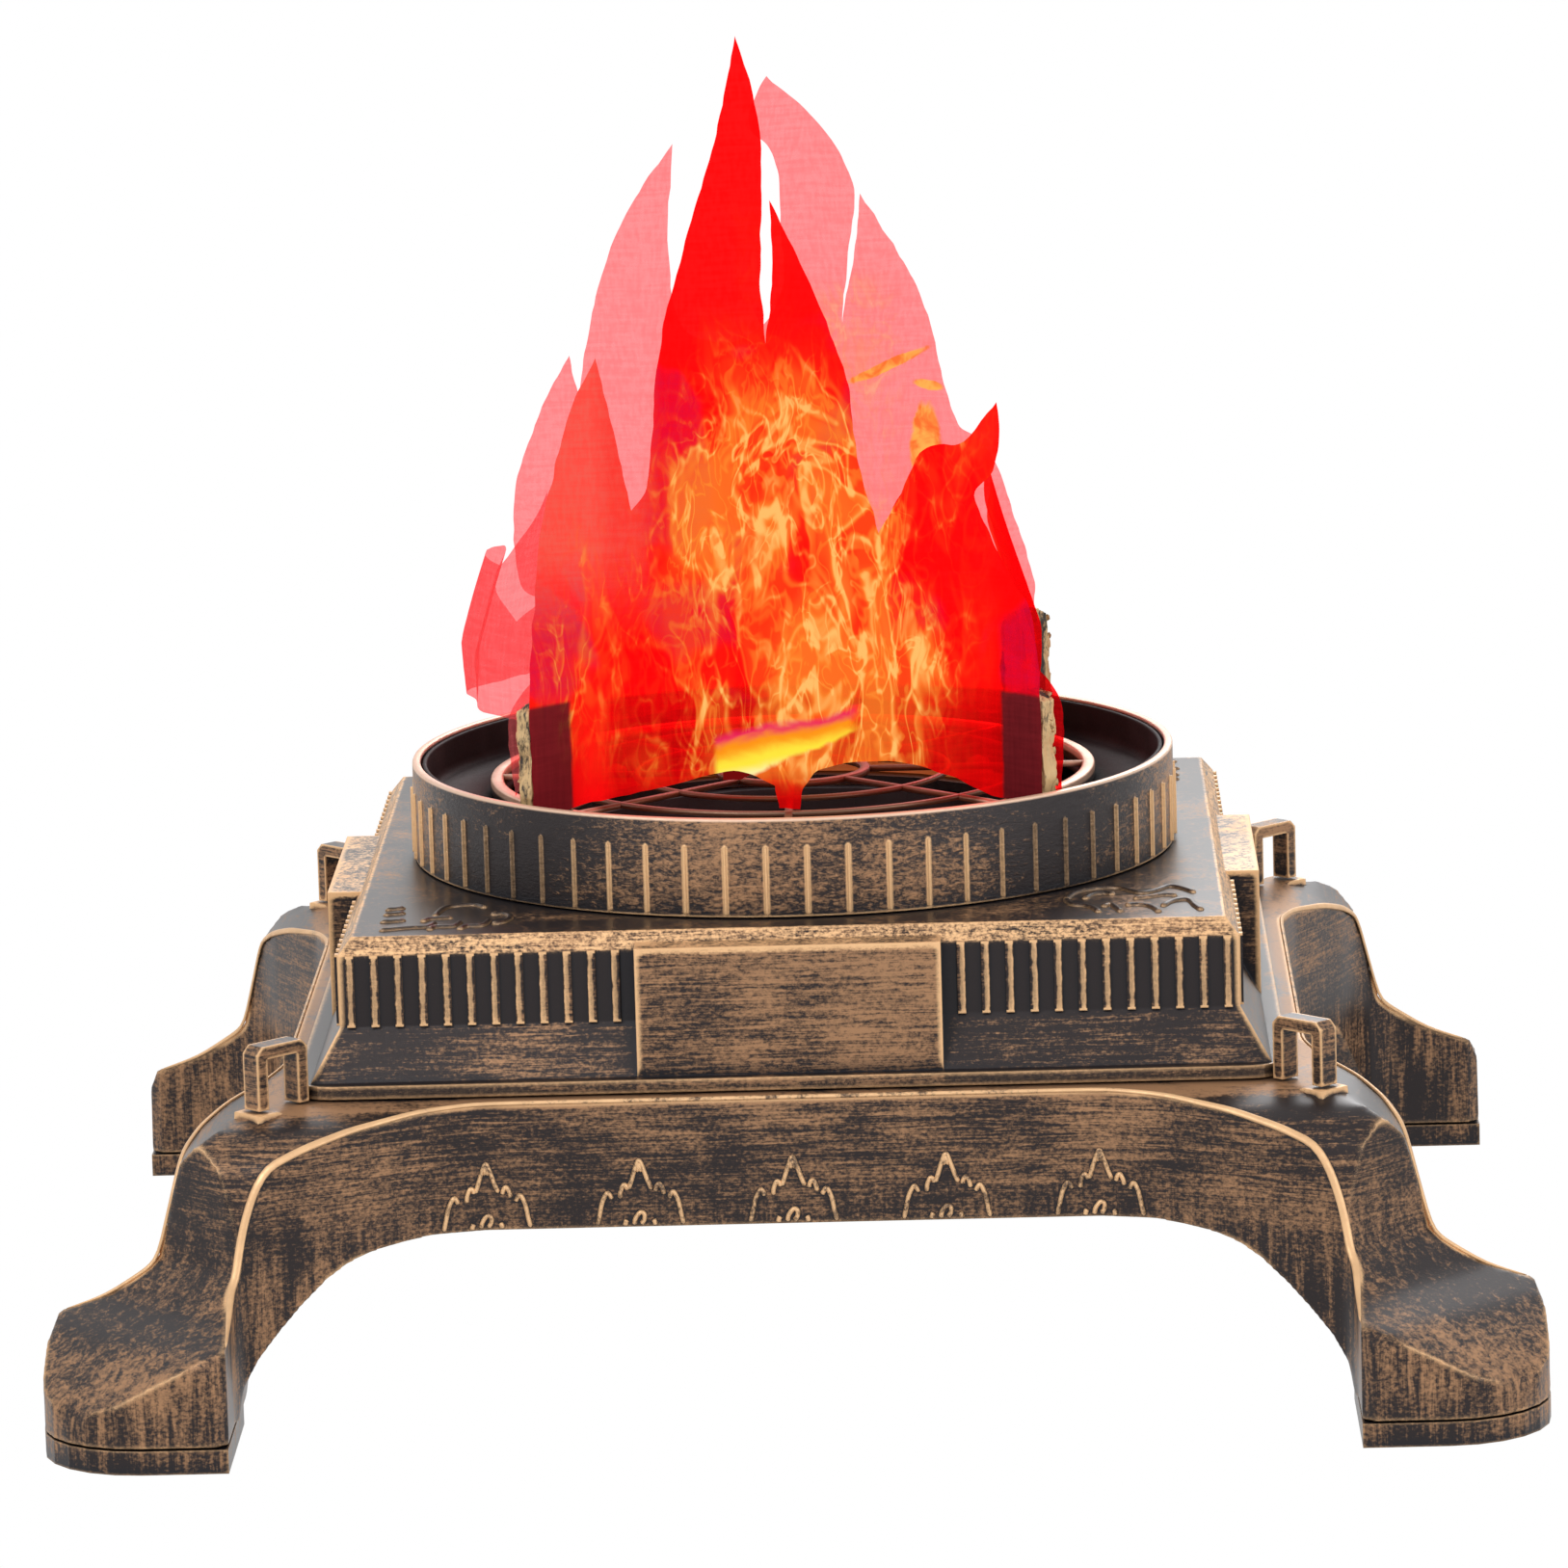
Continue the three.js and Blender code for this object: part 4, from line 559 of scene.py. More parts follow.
@material
def silk(tree, through, shade, dense, flames=1.0, lit=False, licks=()):
    """Thin woven silk, which colours the light that passes through it.

    through is the colour that one layer gives to white light, shade the colour of its threads,
    dense the share of light that they scatter, flames how strongly the lamp light painted on as
    fire shows on it, lit whether it is the front silk, which also gets painted glow and painted
    shadow, and licks its separate small flames of painted light."""
    across = grain(tree, (1500, 1500, 140), 2, 0.5)
    along = grain(tree, (140, 140, 1500), 2, 0.5, move=(4, 4, 4))
    threads = (across + along) * 0.5
    folds = grain(tree, (60, 60, 18), 3, 0.5, 0.4, move=(8, 2, 5))
    deep = tuple(c * c ** 0.25 for c in through[:3]) + (1,)
    tint = blend(ramp(threads, 0.36, 0.64), deep, through)
    tint = blend(ramp(folds, 0.5, 0.8, 0, 0.55), tint, deep)
    scatter = {"Color": shade, "Normal": bump(threads, WEAVE_DEPTH, 0.5)}
    front = add(tree, "ShaderNodeBsdfDiffuse", scatter)
    rear = add(tree, "ShaderNodeBsdfTranslucent", scatter)
    # the threads also glow a little in their own colour: painted lamp light
    cloth = add(tree, "ShaderNodeAddShader", {0: over(0.5, front, rear), 1: glow(tree, shade, 0.35)})
    clear = add(tree, "ShaderNodeBsdfTransparent", {"Color": tint})
    stopped = (ramp(threads, 0.36, 0.64, -0.05, 0.05) + dense).clamped()
    if lit:
        share, colour = magenta_glow(tree, threads)
        cloth = over(share, cloth, glow(tree, colour))
        stopped = (stopped + ramp(axes(place(tree))[0], *LEFT_OF_FRONT, 0, 0.35)).clamped()
    # the lamp light painted on as fire, over the cloth
    cover, lit_colour = wisps(tree)
    lit_cloth = over(cover * flames, over(stopped, clear, cloth), glow(tree, lit_colour))
    if licks:
        lit_cloth = with_licks(lit_cloth, licks)
    if not lit:
        return lit_cloth
    share, colour = lit_patch(tree)
    lit_cloth = over(share, lit_cloth, glow(tree, colour))
    # painted shadow of the stakes behind the front silk, as dark red threads
    colour = blend(threads, (0.05, 0.007, 0.010, 1), (0.16, 0.018, 0.024, 1))
    return over(stake_shadow(tree), lit_cloth, add(tree, "ShaderNodeBsdfDiffuse", {"Color": colour}))


def magenta_glow(tree, threads):
    """Where the front silk glows pinkish with painted light, in patches and on its left tooth: the share and
    colour.
    """
    x, _, z = axes(place(tree))
    patches = grain(tree, (52, 52, 40), 2, 0.5, 0.5, move=(2, 2, 9))
    tooth = ramp(x, *TOOTH_ASIDE) * ramp(z, *TOOTH_RISE)
    colour = blend(tooth, (0.68, 0.006, 0.055, 1), (0.93, 0.115, 0.085, 1))
    share = ramp(patches, 0.50, 0.58, 0, 0.9) * ramp(z, *MAGENTA_HEAD) * ramp(z, *MAGENTA_FOOT)
    return (share + tooth).clamped() * ramp(threads, 0.3, 0.7, 0.75, 1.0), colour


def stake_shadow(tree):
    """Where the front silk lies on its stakes, and their shadow is painted on it."""
    x, _, z = axes(place(tree))
    edge = grain(tree, (500, 500, 300), 3, 0.6) * STAKE_SHADOW_ROUGH + abs(x)
    return ramp(edge, *STAKE_SHADOW_INNER) * ramp(edge, *STAKE_SHADOW_OUTER) * ramp(z, *STAKE_SHADOW_HEAD, 0, 0.9)


def lit_patch(tree):
    """The tongue of light that the lamps throw on the front silk: its share and colour."""
    x, _, z = axes(place(tree))
    mottle = grain(tree, (130, 130, 200), 3, 0.6, 0.6)
    here = (mottle - 0.5) * PATCH_ROUGH + z
    depth = ramp(x, *PATCH_ACROSS, *PATCH_UPPER, kind="LINEAR") - here
    above = here - ramp(x, *PATCH_ACROSS, *PATCH_LOWER, kind="LINEAR")
    share = ramp(above, *PATCH_LOWER_SOFT) * ramp(depth, *PATCH_UPPER_SOFT)
    share = share * ramp(x, *PATCH_LEFT) * ramp(mottle * PATCH_ROUGH + x, *PATCH_RIGHT)
    colour = blend(ramp(depth, *PATCH_ORANGE), (0.85, 0.02, 0.11, 1), (1.0, 0.30, 0.01, 1))
    colour = blend(ramp(depth, *PATCH_YELLOW), colour, (1.0, 0.80, 0.05, 1))
    pale = ramp(depth, *PATCH_PALE) * ramp(mottle, 0.3, 0.6)
    return share, blend(pale, colour, (1.0, 0.95, 0.55, 1))


@material
def lamplit_flap(tree):
    """Silk close above the lamps, their light painted on it as glow: yellow at its foot and red at its top,
    with painted shade along its lowest edge.
    """
    x, _, z = axes(place(tree))
    low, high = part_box("silk_flap")
    rise = (z - low.z) / (high.z - low.z)
    side = (x - low.x) / (high.x - low.x)
    mottle = grain(tree, (160, 160, 240), 3, 0.6, 0.8)
    level = rise - side * 0.45 + (mottle * 0.5 - 0.25)
    colour = blend(ramp(level, 0.30, 0.62), (1.0, 0.62, 0.03, 1), (1.0, 0.17, 0.004, 1))
    colour = blend(ramp(level, 0.62, 0.85), colour, (0.78, 0.01, 0.05, 1))
    # painted shade along the flap's foot
    colour = blend(ramp(z - low.z, *FLAP_FOOT_SHADE), colour, (0.16, 0.004, 0.004, 1))
    return glow(tree, colour)


# Mesh helpers

DOUBLED = 0.002 * MM # corners nearer than this are one
MARK_STEP = 0.6 * MM # between the marks along a casting's edges
BEAD_SINK = 0.3 * MM # how far a bead's foot lies under its surface
BEAD_TIP_SHARE = 0.35


def piece(name, mesh, surface, body="root"):
    """A new object of a mesh that rides on a body."""
    made = bpy.data.objects.new(name, mesh)
    bpy.context.scene.collection.objects.link(made)
    mesh.materials.clear()
    mesh.materials.append(surface)
    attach(made, body)
    return made


def mesh_of(name, form, smooth=True):
    """A mesh from a bmesh, which is freed."""
    bmesh.ops.recalc_face_normals(form, faces=form.faces)
    mesh = bpy.data.meshes.new(name)
    form.to_mesh(mesh)
    form.free()
    mesh.polygons.foreach_set("use_smooth", [smooth] * len(mesh.polygons))
    return mesh


def copy_of(node):
    """A CAD node's shape as a bmesh, with its doubled corners joined."""
    form = bmesh.new()
    form.from_mesh(nodes[node].data)
    bmesh.ops.remove_doubles(form, verts=form.verts, dist=DOUBLED)
    return form


def apply_modifiers(mesh, modifiers):
    """A mesh after a list of (type, settings) modifiers."""
    worker = bpy.data.objects.new("worker", mesh)
    bpy.context.scene.collection.objects.link(worker)
    for kind, settings in modifiers:
        modifier = worker.modifiers.new(kind.lower(), kind)
        for key, value in settings.items():
            setattr(modifier, key, value)
    graph = bpy.context.evaluated_depsgraph_get()
    made = bpy.data.meshes.new_from_object(worker.evaluated_get(graph))
    bpy.data.objects.remove(worker)
    return made


def cast(node, voxel, keep=1.0, rounds=14, crease=math.radians(33), depth=0):
    """A CAD node as a casting: a fine mesh whose facets are smoothed away and whose edges stay."""
    form = copy_of(node)
    marks = []
    for edge in form.edges:
        if len(edge.link_faces) == 2 and edge.calc_face_angle(0) > crease:
            start, end = (vert.co for vert in edge.verts)
            steps = max(1, int((end - start).length / MARK_STEP))
            marks += [start.lerp(end, k / steps) for k in range(steps + 1)]
    tree = kdtree.KDTree(len(marks))
    for i, mark in enumerate(marks):
        tree.insert(mark, i)
    tree.balance()
    remesh = {"mode": "VOXEL", "voxel_size": voxel}
    if depth:
        remesh = {"mode": "SHARP", "octree_depth": depth, "scale": 0.95, "use_remove_disconnected": False}
    mesh = apply_modifiers(mesh_of(node, form), [("REMESH", remesh)])
    count = len(mesh.vertices)
    places = np.empty(count * 3)
    mesh.vertices.foreach_get("co", places)
    places = places.reshape(-1, 3)
    away = np.array([tree.find(spot)[2] for spot in places])
    share = np.clip((away - 0.5 * voxel) / (2.5 * voxel), 0.06, 1)[:, None] * 0.5
    ends = np.empty(len(mesh.edges) * 2, dtype=int)
    mesh.edges.foreach_get("vertices", ends)
    one, two = ends.reshape(-1, 2).T
    meeting = np.maximum(np.bincount(one, minlength=count) + np.bincount(two, minlength=count), 1)[:, None]
    for _ in range(rounds):
        total = np.stack([
            np.bincount(one, places[two, k], count) + np.bincount(two, places[one, k], count)
            for k in range(3)
        ], axis=1)
        places += share * (total / meeting - places)
    mesh.vertices.foreach_set("co", places.ravel())
    if keep < 1:
        mesh = apply_modifiers(mesh, [("DECIMATE", {"ratio": keep})])
    mesh.polygons.foreach_set("use_smooth", [True] * len(mesh.polygons))
    return mesh


def join(form, rings, closed=True):
    """Faces between each ring of corners and the next."""
    count = len(rings)
    for i in range(count if closed else count - 1):
        this, following = rings[i], rings[(i + 1) % count]
        for j in range(len(this)):
            k = (j + 1) % len(this)
            form.faces.new((this[j], following[j], following[k], this[k]))


def turned(form, section, steps):
    """A section turned round Z, added to a bmesh."""
    rings = []
    for i in range(steps):
        angle = 2 * math.pi * i / steps
        rings.append([form.verts.new((r * math.cos(angle), r * math.sin(angle), z)) for r, z in section])
    join(form, rings)


def rounded(wide, tall, edge):
    """A rounded section, from its half width, its half height and the radius of its edges."""
    section = []
    for k in range(4):
        for turn in (0.15, 0.5, 0.85):
            angle = (k + turn) * math.pi / 2
            section.append((
                math.copysign(wide - edge, math.cos(angle)) + edge * math.cos(angle),
                math.copysign(tall - edge, math.sin(angle)) + edge * math.sin(angle),
            ))
    return section


def bead(form, points, width, height, normal, swelling=None):
    """A raised line of half-round section along points on a surface, added to a bmesh."""
    last = len(points) - 1
    rings = []
    for i, point in enumerate(points):
        along = (points[min(i + 1, last)] - points[max(i - 1, 0)]).normalized()
        side = along.cross(normal).normalized()
        size = 1 if 0 < i < last else BEAD_TIP_SHARE
        if swelling:
            size *= swelling(i / last)
        ring = []
        for k in range(7):
            angle = math.pi * k / 6
            offset = side * (math.cos(angle) * width * size / 2)
            ring.append(form.verts.new(point + offset + normal * (math.sin(angle) * height * size)))
        for edge in (-1, 1):
            ring.append(form.verts.new(point + side * (edge * width * size / 2) - normal * BEAD_SINK))
        rings.append(ring)
    join(form, rings, closed=False)
    form.faces.new(rings[0])
    form.faces.new(rings[-1][::-1])


def curve_through(points, steps):
    """A Catmull-Rom curve through points, as straight steps between each two of them."""
    last = len(points) - 1
    made = []
    for i in range(last):
        a, b, c, d = (points[min(max(i + k, 0), last)] for k in (-1, 0, 1, 2))
        for step in range(steps):
            t = step / steps
            made.append(0.5 * (
                2 * b + (c - a) * t + (2 * a - 5 * b + 4 * c - d) * t**2 + (3 * b - a - 3 * c + d) * t**3
            ))
    return made + [points[-1]]


def eased(low, high, value):
    """How far a value has come from low to high, from 0 to 1, with a soft start and end."""
    t = min(max((value - low) / (high - low), 0), 1)
    return t * t * (3 - 2 * t)


# Silk panels, in millimetres

SILK_FOOT = 89.7
SILK_HEIGHT = 124.9
SILK_HALF = 42.0
SILK_BASE_DEPTH = 36.2
SILK_CREST_DEPTH = 8.2
SILK_FREE = SILK_FOOT + 22.3
SILK_REACH = 9
SILK_BELLY = 3.5
SILK_BLEND = 28
SILK_SWELL = 16.7
SILK_FOLD_PITCH = 21
SILK_FOLD_DEPTH = 1.6
SILK_RAGGED = 0.3 # how far its cut edges wander
SILK_EDGE_STEP = 1.1
SILK_STEP = 1.6
SILK_CALM = 4 # height over its foot below which it doesn't flutter
SILK_FLUTTERING = 45 # height over its foot from which it flutters in full
SILK_SLOW_FLUTTER = 2.2
SILK_QUICK_FLUTTER = 0.7
ROW_SHARE = 0.87 # a row of points to the step between them

FRONT_FLAME_SHARES = [
    (-0.998, 0.004), (-1, 0.155), (-0.981, 0.265), (-0.955, 0.358), (-0.905, 0.431), (-0.831, 0.517),
    (-0.721, 0.591), (-0.671, 0.516), (-0.59, 0.392), (-0.524, 0.429), (-0.486, 0.552),
    (-0.443, 0.64), (-0.4, 0.689), (-0.319, 0.775), (-0.217, 0.886), (-0.143, 1), (-0.062, 0.903),
    (-0.048, 0.797), (-0.064, 0.699), (-0.045, 0.605), (-0.014, 0.699), (-0.02, 0.789),
    (0.095, 0.709), (0.205, 0.622), (0.274, 0.547), (0.295, 0.483), (0.324, 0.423), (0.383, 0.355),
    (0.455, 0.397), (0.552, 0.457), (0.631, 0.466), (0.724, 0.468), (0.855, 0.518), (0.869, 0.478),
    (0.836, 0.429), (0.764, 0.399), (0.829, 0.343), (0.91, 0.289), (0.974, 0.25), (1, 0.155),
    (0.998, 0.014), (0.805, 0.007), (0.636, 0.036), (0.429, 0.058), (0.164, 0.056), (0.067, 0.031),
    (0.045, 0), (-0.038, 0), (-0.048, 0.032), (-0.217, 0.052), (-0.507, 0.03), (-0.84, 0.007),
]
REAR_FLAME_SHARES = [
    (-0.998, 0.004), (-0.998, 0.155), (-1.13, 0.187), (-1.15, 0.264), (-1.117, 0.361),
    (-1.007, 0.46), (-0.879, 0.544), (-0.843, 0.483), (-0.826, 0.52), (-0.748, 0.637),
    (-0.617, 0.745), (-0.419, 0.838), (-0.455, 0.702), (-0.421, 0.584), (-0.25, 0.555), (-0.08, 0.58),
    (0.0, 0.63), (0.005, 0.70), (0.0, 0.79), (-0.03, 0.83), (-0.1, 0.855), (-0.095, 0.89),
    (-0.033, 0.93), (0.174, 0.86), (0.302, 0.777), (0.274, 0.681), (0.24, 0.578),
    (0.298, 0.681), (0.331, 0.763), (0.469, 0.68), (0.579, 0.597), (0.65, 0.485), (0.70, 0.43),
    (0.79, 0.405), (0.87, 0.355), (0.93, 0.28), (0.99, 0.20), (1.0, 0.155), (0.998, 0.004),
    (0.476, 0.026), (0, 0.042), (-0.476, 0.026),
]
LEFT_FLAME_SHARES = [
    (-0.998, 0.03), (-0.998, 0.14), (-0.81, 0.205), (-0.62, 0.285), (-0.5, 0.235), (-0.3, 0.29),
    (-0.12, 0.315), (0.06, 0.305), (0.28, 0.27), (0.5, 0.36), (0.66, 0.24), (0.95, 0.155),
    (0.998, 0.14), (0.998, 0.03), (0.82, 0.09), (0.4, 0.105), (-0.4, 0.105), (-0.82, 0.09),
]
RIGHT_FLAME_SHARES = [
    (-0.998, 0.004), (-0.998, 0.14), (-0.8, 0.205), (-0.55, 0.3), (-0.35, 0.265), (-0.15, 0.34),
    (0.08, 0.415), (0.25, 0.335), (0.42, 0.26), (0.5, 0.31), (0.62, 0.22), (0.8, 0.165),
    (0.86, 0.13), (0.86, 0.01), (0.6, 0.05), (0.2, 0.09), (-0.2, 0.09), (-0.6, 0.05),
]


def silk_depth(across, z, bulge, swell):
    """How far a panel stands from the lamp's middle."""
    lean = max(0, (z - SILK_FREE) / (SILK_FOOT + SILK_HEIGHT - SILK_FREE))
    base = SILK_BASE_DEPTH - (SILK_BASE_DEPTH - SILK_CREST_DEPTH) * lean
    shoulder = SILK_HALF - SILK_REACH
    spread = max(0, abs(across) - shoulder) * (1 - eased(SILK_FREE, SILK_FREE + SILK_BLEND, z))
    bow = max(0, 1 - (across / shoulder) ** 2)
    puff = bulge * eased(SILK_FOOT, SILK_FOOT + swell, z)
    fold = math.sin(2 * math.pi * across / SILK_FOLD_PITCH) * bow * eased(SILK_FOOT, SILK_FREE, z)
    return base + spread + bow * (SILK_BELLY * (1 - lean) + puff) + fold * SILK_FOLD_DEPTH


def cut_outline(shares):
    """A flame's outline: curves between its tips and clefts, slightly uneven."""
    corners = [Vector((s * SILK_HALF, SILK_FOOT + t * SILK_HEIGHT, 0)) for s, t in shares]
    count = len(corners)

    def sharp(i):
        into = corners[i] - corners[i - 1]
        out = corners[(i + 1) % count] - corners[i]
        return into.angle(out) > math.radians(62)

    tips = [i for i in range(count) if sharp(i)]
    made = []
    for start, end in zip(tips, tips[1:] + [tips[0] + count]):
        run = [corners[i % count] for i in range(start, end + 1)]
        length = sum((b - a).length for a, b in zip(run, run[1:]))
        steps = max(1, round(length / (len(run) - 1) / SILK_EDGE_STEP))
        made += curve_through(run, steps)[:-1]
    uneven = []
    for p in made:
        wander = noise.noise_vector(Vector((p.x * 0.35, p.y * 0.35, SILK_HALF)))
        uneven.append(Vector((p.x + wander.x * SILK_RAGGED, p.y + wander.y * SILK_RAGGED, 0)))
    return uneven


def area_of(outline):
    total = 0
    for i, point in enumerate(outline):
        before = outline[i - 1]
        total += before.x * point.y - point.x * before.y
    return abs(total) / 2


def extent(outline):
    """The low and the high corner of an outline."""
    xs = [p.x for p in outline]
    ys = [p.y for p in outline]
    return Vector((min(xs), min(ys))), Vector((max(xs), max(ys)))


def filled(outline):
    """Points and triangles that fill an outline."""
    low, high = extent(outline)
    points = [Vector((p.x, p.y)) for p in outline]
    edges = [(i, (i + 1) % len(points)) for i in range(len(points))]
    rows = int((high.y - low.y) / (SILK_STEP * ROW_SHARE)) + 1
    columns = int((high.x - low.x) / SILK_STEP) + 2
    for r in range(rows):
        y = low.y + r * SILK_STEP * ROW_SHARE
        for c in range(columns):
            points.append(Vector((low.x + (c + 0.5 * (r % 2)) * SILK_STEP, y)))
    places, _, faces, *_ = delaunay_2d_cdt(points, edges, [], 1, 0.02)
    return places, faces


def panel(name, shares, bulge, turn, side, surface, seed, swell=SILK_SWELL):
    """A silk panel that stands at one side of the flame, at its CAD node's place."""
    outline = cut_outline(shares)
    places, faces = filled(outline)
    form = bmesh.new()
    verts = []
    spin = Matrix.Rotation(turn, 3, "Z")
    for p in places:
        rise = eased(SILK_FOOT + SILK_CALM, SILK_FOOT + SILK_FLUTTERING, p.y)
        slow = noise.noise(Vector((p.x * 0.045, p.y * 0.016, seed)))
        quick = noise.noise(Vector((p.x * 0.16, p.y * 0.05, seed + 5)))
        flutter = SILK_SLOW_FLUTTER * slow + SILK_QUICK_FLUTTER * quick
        depth = silk_depth(p.x, p.y, bulge, swell) + rise * flutter
        verts.append(form.verts.new(spin @ Vector((p.x, side * depth, p.y)) * MM))
    for face in faces:
        form.faces.new([verts[i] for i in face])
    made = piece(name, mesh_of(name, form), surface)
    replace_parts(made, name.removesuffix("_cloth"))
    area_of(outline) * MM * MM


# Drum, bowl, guard and stakes, in millimetres

DRUM_SECTION = [ # [radius, height]
    (58.5, 76.5), (64.5, 76.5), (64.5, 92.4), (64.38, 92.68), (64.1, 92.8), (63.5, 92.8), (63.2, 92.7),
    (63.1, 92.5), (63.1, 78.7), (58.5, 78.7),
]
DRUM_STEPS = 240
RIBS = 60
RIB_SECTION = [(64.0, -0.28), (64.8, -0.26), (65.0, -0.14), (65.0, 0.14), (64.8, 0.26), (64.0, 0.28)]
RIB_FOOT = 77.0
RIB_HEAD = 88.2
LINER_SECTION = [ # [radius, height]
    (62.8, 79.0), (62.8, 92.0), (62.7, 92.25), (62.4, 92.3), (62.1, 92.25), (62.0, 92.0),
    (62.0, 88.0), (61.6, 87.0), (60.7, 86.5), (49.0, 86.5), (49.0, 85.3), (61.5, 85.3), (61.9, 85.0),
    (62.0, 79.0),
]
LINER_STEPS = 144
GUARD_FOOT = 86.8
GUARD_HEAD = 89.4
GUARD_RINGS = ((51.3, 2.2, 0), (40.6, 1.2, 1.6), (27.1, 1.2, 1.6), (13.2, 1.8, 1.4)) # [radius, width, rise]
GUARD_RING_EDGE = 0.45
GUARD_STEPS = 128
SPOKES = 8
SPOKE_REACH = (12, 50.2)
SPOKE_WIDTH = 1.4
SPOKE_RISE = 1.5 # of its underside over the guard's foot
SPOKE_DROP = 0.1 # of its top below the guard's
SPOKE_EDGE = 0.4
BARK_VOXEL = 0.32
BARK_RIDGE = 0.55
LEG_VOXEL = 1.0
LOOP_BEVEL = 0.35
PAD_BEVEL = 0.5


def in_metres(section):
    return [(r * MM, z * MM) for r, z in section]


def drum():
    """The ribbed drum: a turned wall with upright ribs."""
    form = bmesh.new()
    turned(form, in_metres(DRUM_SECTION), DRUM_STEPS)
    for i in range(RIBS):
        spin = Matrix.Rotation(2 * math.pi * (i + 0.5) / RIBS, 4, "Z")
        ends = [
            [form.verts.new(spin @ Vector((r * MM, s * MM, z * MM))) for r, s in RIB_SECTION]
            for z in (RIB_HEAD, RIB_FOOT)
        ]
        form.faces.new(ends[0])
        form.faces.new(ends[1][::-1])
        join(form, ends, closed=False)
    mesh = mesh_of("drum_ring_skin", form, smooth=False)
    mesh.polygons.foreach_set("use_smooth", [len(face.vertices) == 4 for face in mesh.polygons])
    mesh.set_sharp_from_angle(angle=math.radians(30))
    return mesh


def liner():
    form = bmesh.new()
    turned(form, in_metres(LINER_SECTION), LINER_STEPS)
    return mesh_of("bowl_liner_skin", form)


def guard():
    """The fan's grille: round-edged rings, a hub and spokes."""
    form = bmesh.new()
    for outer, width, rise in GUARD_RINGS:
        low = GUARD_FOOT + rise
        middle, height = outer - width / 2, (low + GUARD_HEAD) / 2
        section = rounded(width / 2, (GUARD_HEAD - low) / 2, GUARD_RING_EDGE)
        turned(form, in_metres([(middle + s, height + t) for s, t in section]), GUARD_STEPS)
    low, high = GUARD_FOOT + SPOKE_RISE, GUARD_HEAD - SPOKE_DROP
    section = in_metres(rounded(SPOKE_WIDTH / 2, (high - low) / 2, SPOKE_EDGE))
    for i in range(SPOKES):
        angle = 2 * math.pi * i / SPOKES
        way = Vector((math.cos(angle), math.sin(angle), 0))
        side = Vector((-way.y, way.x, 0))
        middle = Vector((0, 0, (high + low) / 2 * MM))
        ends = [
            [form.verts.new(way * (reach * MM) + side * s + middle + Vector((0, 0, t))) for s, t in section]
            for reach in SPOKE_REACH
        ]
        join(form, ends, closed=False)
        form.faces.new(ends[0])
        form.faces.new(ends[1][::-1])
    return mesh_of("fan_guard_bars", form)


def weathered(mesh, per_metre, depth, seed):
    """Moves a mesh's points by upright ridges of noise."""
    for vert in mesh.vertices:
        p = vert.co
        at = Vector((p.x * per_metre, p.y * per_metre, p.z * per_metre * 0.3 + seed))
        rough = noise.fractal(at, 0.7, 2.1, 4)
        vert.co = p + vert.normal * depth * min(0.25, rough - 0.3)
    return mesh


# Reliefs, in millimetres: flames along the aprons, and sideways flames on the housing's corners

APRON_PLANE = 84.0
APRON_FLAT = 50 # half of the apron's straight stretch
COVE_RUN = 39.8
COVE_DEPTH = 21
ARCH_TOP = 29.8
FRAME_TOP = 51.0
LEG_RUN = 36.6 # from the apron out to a toe
LID_TOP = 76.2
ARRIS_STEP = 4.0
ARRIS_FOOT_STEP = 1.6
ARRIS_WIDTH = 1.3
ARRIS_HEIGHT = 0.28
ARRIS_CLEAR = 60 # height from which rays are cast down on the skin
FOOT_FACE = 88 # aside from here an arris lies on a foot
SKIN_MARGIN = 0.5 # from an arris in to where its height is taken
SKIN_DROP = 6 # how far the skin may lie under the profile
SKIN_LIFT = 1
FLAME_PITCH = 24.8
FLAME_HEIGHT = 0.5
FLAME_STROKES = [ # [line's width, points from the flame's middle at the arch's edge]
    (0.75, [(-1.8, 6.4), (-1.35, 7.6), (-0.85, 9.2), (-0.2, 10.9), (0.2, 10.9), (0.85, 9.2), (1.4, 7.6),
            (1.95, 6.3)]),
    (0.7, [(-0.3, 9.2), (0, 10.6), (0.3, 9.2)]),
    (0.75, [(-3.2, 4.9), (-3.1, 6.0), (-2.6, 7.1), (-2.15, 6.9), (-2.0, 6.3)]),
    (0.75, [(3.9, 5.4), (3.7, 6.4), (3.2, 7.2), (2.75, 6.7), (2.6, 6.0)]),
    (0.75, [(-7.0, 0.5), (-6.6, 2.2), (-6.1, 4.3), (-5.3, 5.8), (-4.8, 5.4), (-4.6, 4.8)]),
    (0.75, [(7.0, 0.5), (6.6, 2.2), (6.2, 4.3), (5.5, 5.8), (5.0, 5.4), (4.7, 4.8)]),
    (0.75, [(-1.0, 0.5), (-0.8, 1.5), (0.0, 2.5), (0.65, 2.2), (0.6, 1.3), (0.1, 0.6)]),
    (0.8, [(-2.5, 0.4), (-2.4, 0.9), (-2.2, 1.3)]),
    (0.8, [(2.4, 0.4), (2.3, 0.9), (2.1, 1.3)]),
]
LID_STROKE_WIDTH = 1.2
LID_STROKE_HEIGHT = 0.55
